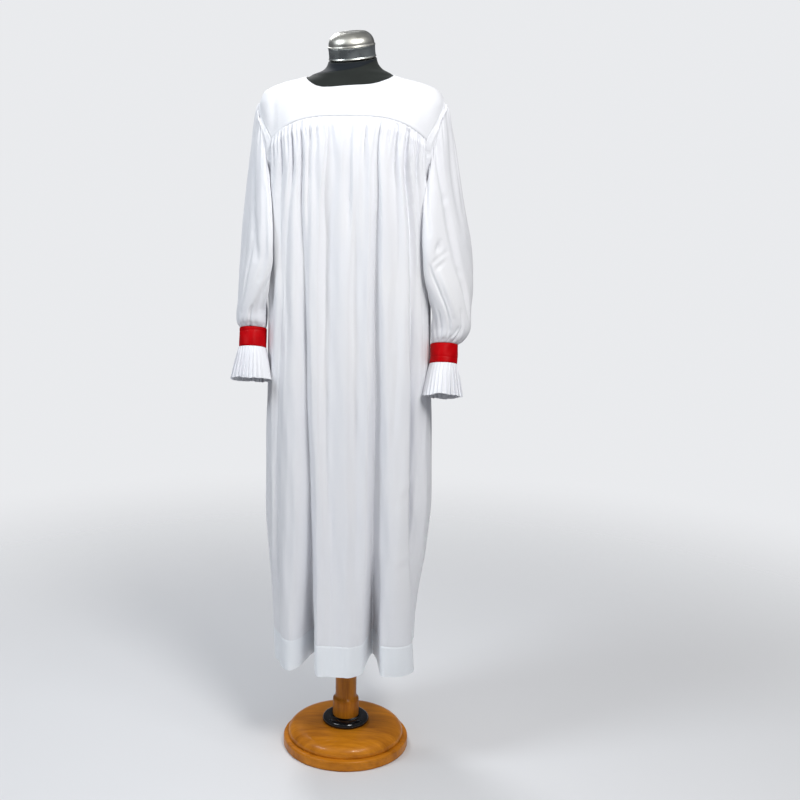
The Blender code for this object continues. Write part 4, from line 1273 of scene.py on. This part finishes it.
def neck_wrap(material):
    """The smoother, darker band round the neck under the cap, whose lower edge runs down to the left."""
    x = WRAP_REACH * np.cos(np.arange(FORM_COLUMNS) * TURN / FORM_COLUMNS)
    low = np.minimum(WRAP_Z + WRAP_SLOPE * x, NECK_TOP - 0.003)
    rings = [
        form_ring(NECK_TOP - 0.0006 + (low - NECK_TOP) * share, 0.0001 if share == 1 else 0.0007)
        for share in np.linspace(0, 1, 14)
    ]
    shell("neck_wrap", np.array(rings), material, closed=True, skin=WRAP_SKIN)


def cap(band_metal_painted_light, dome_metal_painted_light):
    """A band with a rolled lower rim and a ridge, and a low dome with a flat top, tilted with the neck."""
    low = [(0.0030, 0.0), (0.0006, 0.0001), (-0.0001, 0.0012), (-0.0001, 0.0024), (0.0008, 0.0038)]
    low += [(0.0012, 0.0060), (0.0014, 0.0150), (0.0010, 0.0235), (0.0004, 0.0258)]
    top = [(0.0010, 0.0256), (0.0003, 0.0264), (0.0001, 0.0274), (0.0006, 0.0284), (0.0018, CAP_BAND)]
    shoulder = CAP_RADIUS - CAP_FLAT
    for k in range(1, 8):
        turn = k / 8 * math.pi / 2
        inward = shoulder - (shoulder - 0.002) * math.cos(turn) ** 1.3
        top.append((inward, CAP_BAND + CAP_DOME * math.sin(turn) * 0.985))
    high = CAP_BAND + CAP_DOME
    top += [(shoulder + 0.0006, high - 0.0008), (shoulder + 0.003, high), (CAP_RADIUS - CAP_FLAT / 2, high)]
    for name, inset, steps, material in (
        ("cap_band", low, 40, band_metal_painted_light),
        ("cap_dome", top, 70, dome_metal_painted_light),
    ):
        thing = lathe(name, CAP_RADIUS, 0.0, inset, steps, material)
        thing.rotation_euler = (CAP_NOD, -CAP_TILT, 0)
        thing.location = (0, 0, NECK_TOP + CAP_OFF)
    # The band's lower rim takes the dome's metal copy: a painted highlight along the bead.
    rim = bpy.data.objects["cap_band"].data
    rim.materials.append(dome_metal_painted_light)
    for face in rim.polygons:
        face.material_index = int(face.center.z < RIM_PAINTED_HIGHLIGHT_TOP)


def stand(wood_flat, wood_upright, ring_black):
    """The plate, the dome, the glossy ring and the turned pole."""
    plate, dome, ring = (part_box(name)[1] for name in ("base_plate", "base_dome", "base_ring"))
    foot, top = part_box("stand_pole")
    high = plate.z
    inset = [(0.0040, 0.0), (0.0012, 0.0012), (0.0, 0.0040), (0.0, high - 0.0060), (0.0008, high - 0.0030)]
    inset += [(0.0030, high - 0.0006), (0.0070, high), (plate.x / 2, high)]
    lathe("base_plate_wood", plate.x, 0.0, inset, 60, wood_flat, STAND_COLUMNS)
    under = plate.z + STAND_GAP
    high = dome.z - under
    inset = [(0.0012, 0.0), (0.0, 0.0030), (0.0003, 0.0090), (0.0026, 0.0145), (0.0075, 0.0202)]
    inset += [(0.0150, 0.0252), (dome.x - 0.1160, 0.0288), (dome.x - 0.1050, 0.0305)]
    inset += [(dome.x - 0.0860, 0.0318), (dome.x - 0.0610, high), (dome.x - 0.0300, high)]
    lathe("base_dome_wood", dome.x, under, inset, 90, wood_flat, STAND_COLUMNS)
    under = dome.z + STAND_GAP
    high = ring.z - under
    inset = [(0.0050, 0.0), (0.0016, 0.0012), (0.0, 0.30 * high), (0.0006, 0.52 * high)]
    inset += [(0.0036, 0.78 * high), (0.0090, 0.95 * high), (0.0135, high)]
    inset += [(ring.x - 0.0380, 0.86 * high), (ring.x - 0.0345, 0.66 * high)]
    lathe("base_ring_gloss", ring.x, under, inset, 56, ring_black)
    waist = top.x - POLE_RADIUS
    inset = [(0.0, foot.z), (-0.0002, 0.0900), (0.0002, 0.1120), (-0.0002, 0.1146), (0.0009, 0.1158)]
    inset += [(0.0002, 0.1170), (0.0006, 0.1188), (0.0030, 0.1212), (waist - 0.0008, 0.1250)]
    inset += [(waist, 0.1310)]
    straight = [(POLE_RADIUS, z) for z in np.linspace(0.14, top.z, 30)]
    lathe("stand_pole_wood", top.x, 0.0, inset, 70, wood_upright, 96, straight)


# Light, floor and camera

def world():
    """Plain soft light, brighter from above and in front, and an even pale room for the camera."""
    made = bpy.data.worlds.new("studio")
    bpy.context.scene.world = made
    made.use_nodes = True
    nodes = Nodes(made.node_tree)
    place = nodes.node("ShaderNodeTexCoord").outputs["Generated"]
    upward = (0.03, -0.30, 0.95)
    facing = nodes.node("ShaderNodeVectorMath", {"operation": "DOT_PRODUCT"}, i0=place, i1=upward)
    lift = nodes.math("MULTIPLY_ADD", facing.outputs["Value"], 0.5, 0.5)
    shade = nodes.ramp(
        lift, (0.0, (0.30, 0.31, 0.34)), (0.45, (0.25, 0.26, 0.29)), (0.64, (0.44, 0.46, 0.51)),
        (1.0, (1.0, 1.0, 1.0)),
    )
    lit = made.node_tree.nodes["Background"]
    nodes.join(shade, lit.inputs[0])
    nodes.join(0.38, lit.inputs[1])
    seen = nodes.node("ShaderNodeBackground", i0=(0.82, 0.83, 0.85, 1), i1=1.0)
    direct = nodes.node("ShaderNodeLightPath").outputs["Is Camera Ray"]
    mix = nodes.node("ShaderNodeMixShader", i0=direct, i1=lit.outputs[0], i2=seen.outputs[0])
    nodes.join(mix.outputs[0], made.node_tree.nodes["World Output"].inputs[0])


def lights():
    for name, place, aim, energy, colour, size in (
        ("key", (1.0, -1.7, 2.7), 1.38, 43, (1.0, 0.99, 0.97), 0.8),
        ("left", (-1.7, -1.1, 2.6), 1.40, 31, (0.90, 0.95, 1.0), 0.9),
        ("right", (1.5, -1.1, 2.9), 1.45, 9, (0.98, 0.99, 1.0), 0.7),
        ("behind", (-1.1, 1.8, 3.0), 1.30, 38, (0.97, 0.98, 1.0), 1.0),
    ):
        data = bpy.data.lights.new(name, "AREA")
        data.energy = energy
        data.color = colour
        data.shape = "DISK"
        data.size = size
        lamp = added(name, data)
        lamp.location = place
        lamp.rotation_euler = (Vector((0, 0, aim)) - lamp.location).to_track_quat("-Z", "Y").to_euler()


def floor():
    """A pale floor that fades into the pale room a few paces from the stand."""
    finish = Finish("floor", (0.72, 0.725, 0.74), 0.9, Specular_IOR_Level=0.1)
    place = finish.coordinates()
    tone = finish.noise(place, 1.5, 2.0)
    finish.colour(finish.ramp(tone, (0.3, (0.71, 0.715, 0.73)), (0.7, (0.72, 0.725, 0.74))))
    far = finish.node("ShaderNodeVectorMath", {"operation": "LENGTH"}, i0=place).outputs["Value"]
    smooth = {"interpolation_type": "SMOOTHSTEP"}
    fade = finish.node("ShaderNodeMapRange", smooth, i0=far, i1=0.7, i2=2.8, i3=1.0, i4=0.0)
    finish.join(fade.outputs[0], finish.shader.inputs["Alpha"])
    new_object("floor", circle(3.0, 0.0, 96), [list(range(96))], finish.material)


def camera():
    data = bpy.data.cameras.new("camera")
    data.sensor_fit = "HORIZONTAL"
    data.sensor_width = SENSOR
    data.lens = LENS
    data.shift_x = SHIFT_X
    data.clip_end = 100
    thing = added("camera", data)
    spot = (CAMERA_FAR * math.sin(CAMERA_TURN), -CAMERA_FAR * math.cos(CAMERA_TURN), EYE_Z)
    turn = Matrix.Rotation(CAMERA_TURN, 4, "Z") @ Matrix.Rotation(math.pi / 2 - CAMERA_PITCH, 4, "X")
    thing.matrix_world = Matrix.Translation(spot) @ turn @ Matrix.Rotation(CAMERA_ROLL, 4, "Z")
    bpy.context.scene.camera = thing


# Each piece, its slot and the solid that it stands for
PIECES = (
    ("rochet_front", "white_poplin", "body_front"),
    ("rochet_back", "white_poplin", "body_back"),
    ("yoke_cloth_front", "white_poplin", "yoke_front"),
    ("yoke_cloth_back", "white_poplin", "yoke_back"),
    ("sleeve_cloth_left", "white_poplin", "sleeve_left"),
    ("sleeve_cloth_right", "white_poplin", "sleeve_right"),
    ("wristband_satin_left", "red_satin", "wristband_left"),
    ("wristband_satin_right", "red_satin", "wristband_right"),
    ("ruffle_cloth_left", "white_poplin", "cuff_ruffle_left"),
    ("ruffle_cloth_right", "white_poplin", "cuff_ruffle_right"),
    ("form_cover", "black_jersey", "form_torso"),
    ("neck_wrap", "black_jersey", None),
    ("cap_dome", "bright_metal", "neck_cap"),
    ("cap_band", "bright_metal", None),
    ("base_plate_wood", "varnished_wood", "base_plate"),
    ("base_dome_wood", "varnished_wood", "base_dome"),
    ("base_ring_gloss", "gloss_black", "base_ring"),
    ("stand_pole_wood", "varnished_wood", "stand_pole"),
)


def pieces():
    body_cloth = poplin("white_poplin_body", (("from_low_edge", HEM_DEEP),), HEM_DEEP)
    yoke_lines = (("from_low_edge", SEAM_STITCH), ("from_top_edge", NECK_STITCH))
    yoke_cloth = poplin("white_poplin_yoke", yoke_lines)
    sleeve_cloth = poplin("white_poplin_sleeve")
    ruffle_cloth = poplin("white_poplin_ruffle", (("from_low_edge", RUFFLE_STITCH),))
    red = satin("red_satin")
    cover = jersey("black_jersey", (0.012, 0.0145, 0.0130), 0.5)
    wrap = jersey("black_band", (0.005, 0.0075, 0.011), 0.15)
    # The cap's band and dome are one metal in two copies whose colours are set apart as painted light: the
    # band's is lighter, standing in for light on it, and the dome's darker, standing in for shade.
    dome_metal_painted_light = metal("bright_metal", (0.54, 0.535, 0.49), 0.36)
    band_metal_painted_light = metal("band_metal_copy_painted_light", (0.60, 0.64, 0.62), 0.28)
    wood_flat = varnished("varnished_wood_base", (0.35, 2.6, 1.0))
    wood_upright = varnished("varnished_wood_pole", (2.4, 2.4, 0.22))
    ring_black = gloss("gloss_black")

    for facing, folds in ((1, FRONT_FOLDS), (-1, BACK_FOLDS)):
        shell(f"rochet_{FACE[facing]}", Panel(facing, folds).grid(), body_cloth, flip=facing < 0)
    for facing, face in FACE.items():
        shell(f"yoke_cloth_{face}", yoke_grid(facing), yoke_cloth, flip=facing < 0)
    pair("sleeve_cloth", sleeve_grid, sleeve_cloth)
    pair("wristband_satin", band_grid, red, BAND_SKIN)
    pair("ruffle_cloth", ruffle_grid, ruffle_cloth, RUFFLE_SKIN)
    torso(cover)
    neck_wrap(wrap)
    cap(band_metal_painted_light, dome_metal_painted_light)
    stand(wood_flat, wood_upright, ring_black)


def declare():
    """Attaches each piece to the body it rides on, and hides the solid that it stands for."""
    made = bpy.data.objects
    for name, slot, node in PIECES:
        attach(made[name], "root")
        if node:
            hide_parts(node)


bpy.context.scene.view_settings.view_transform = "Standard"
pieces()
declare()
world()
lights()
floor()
camera()
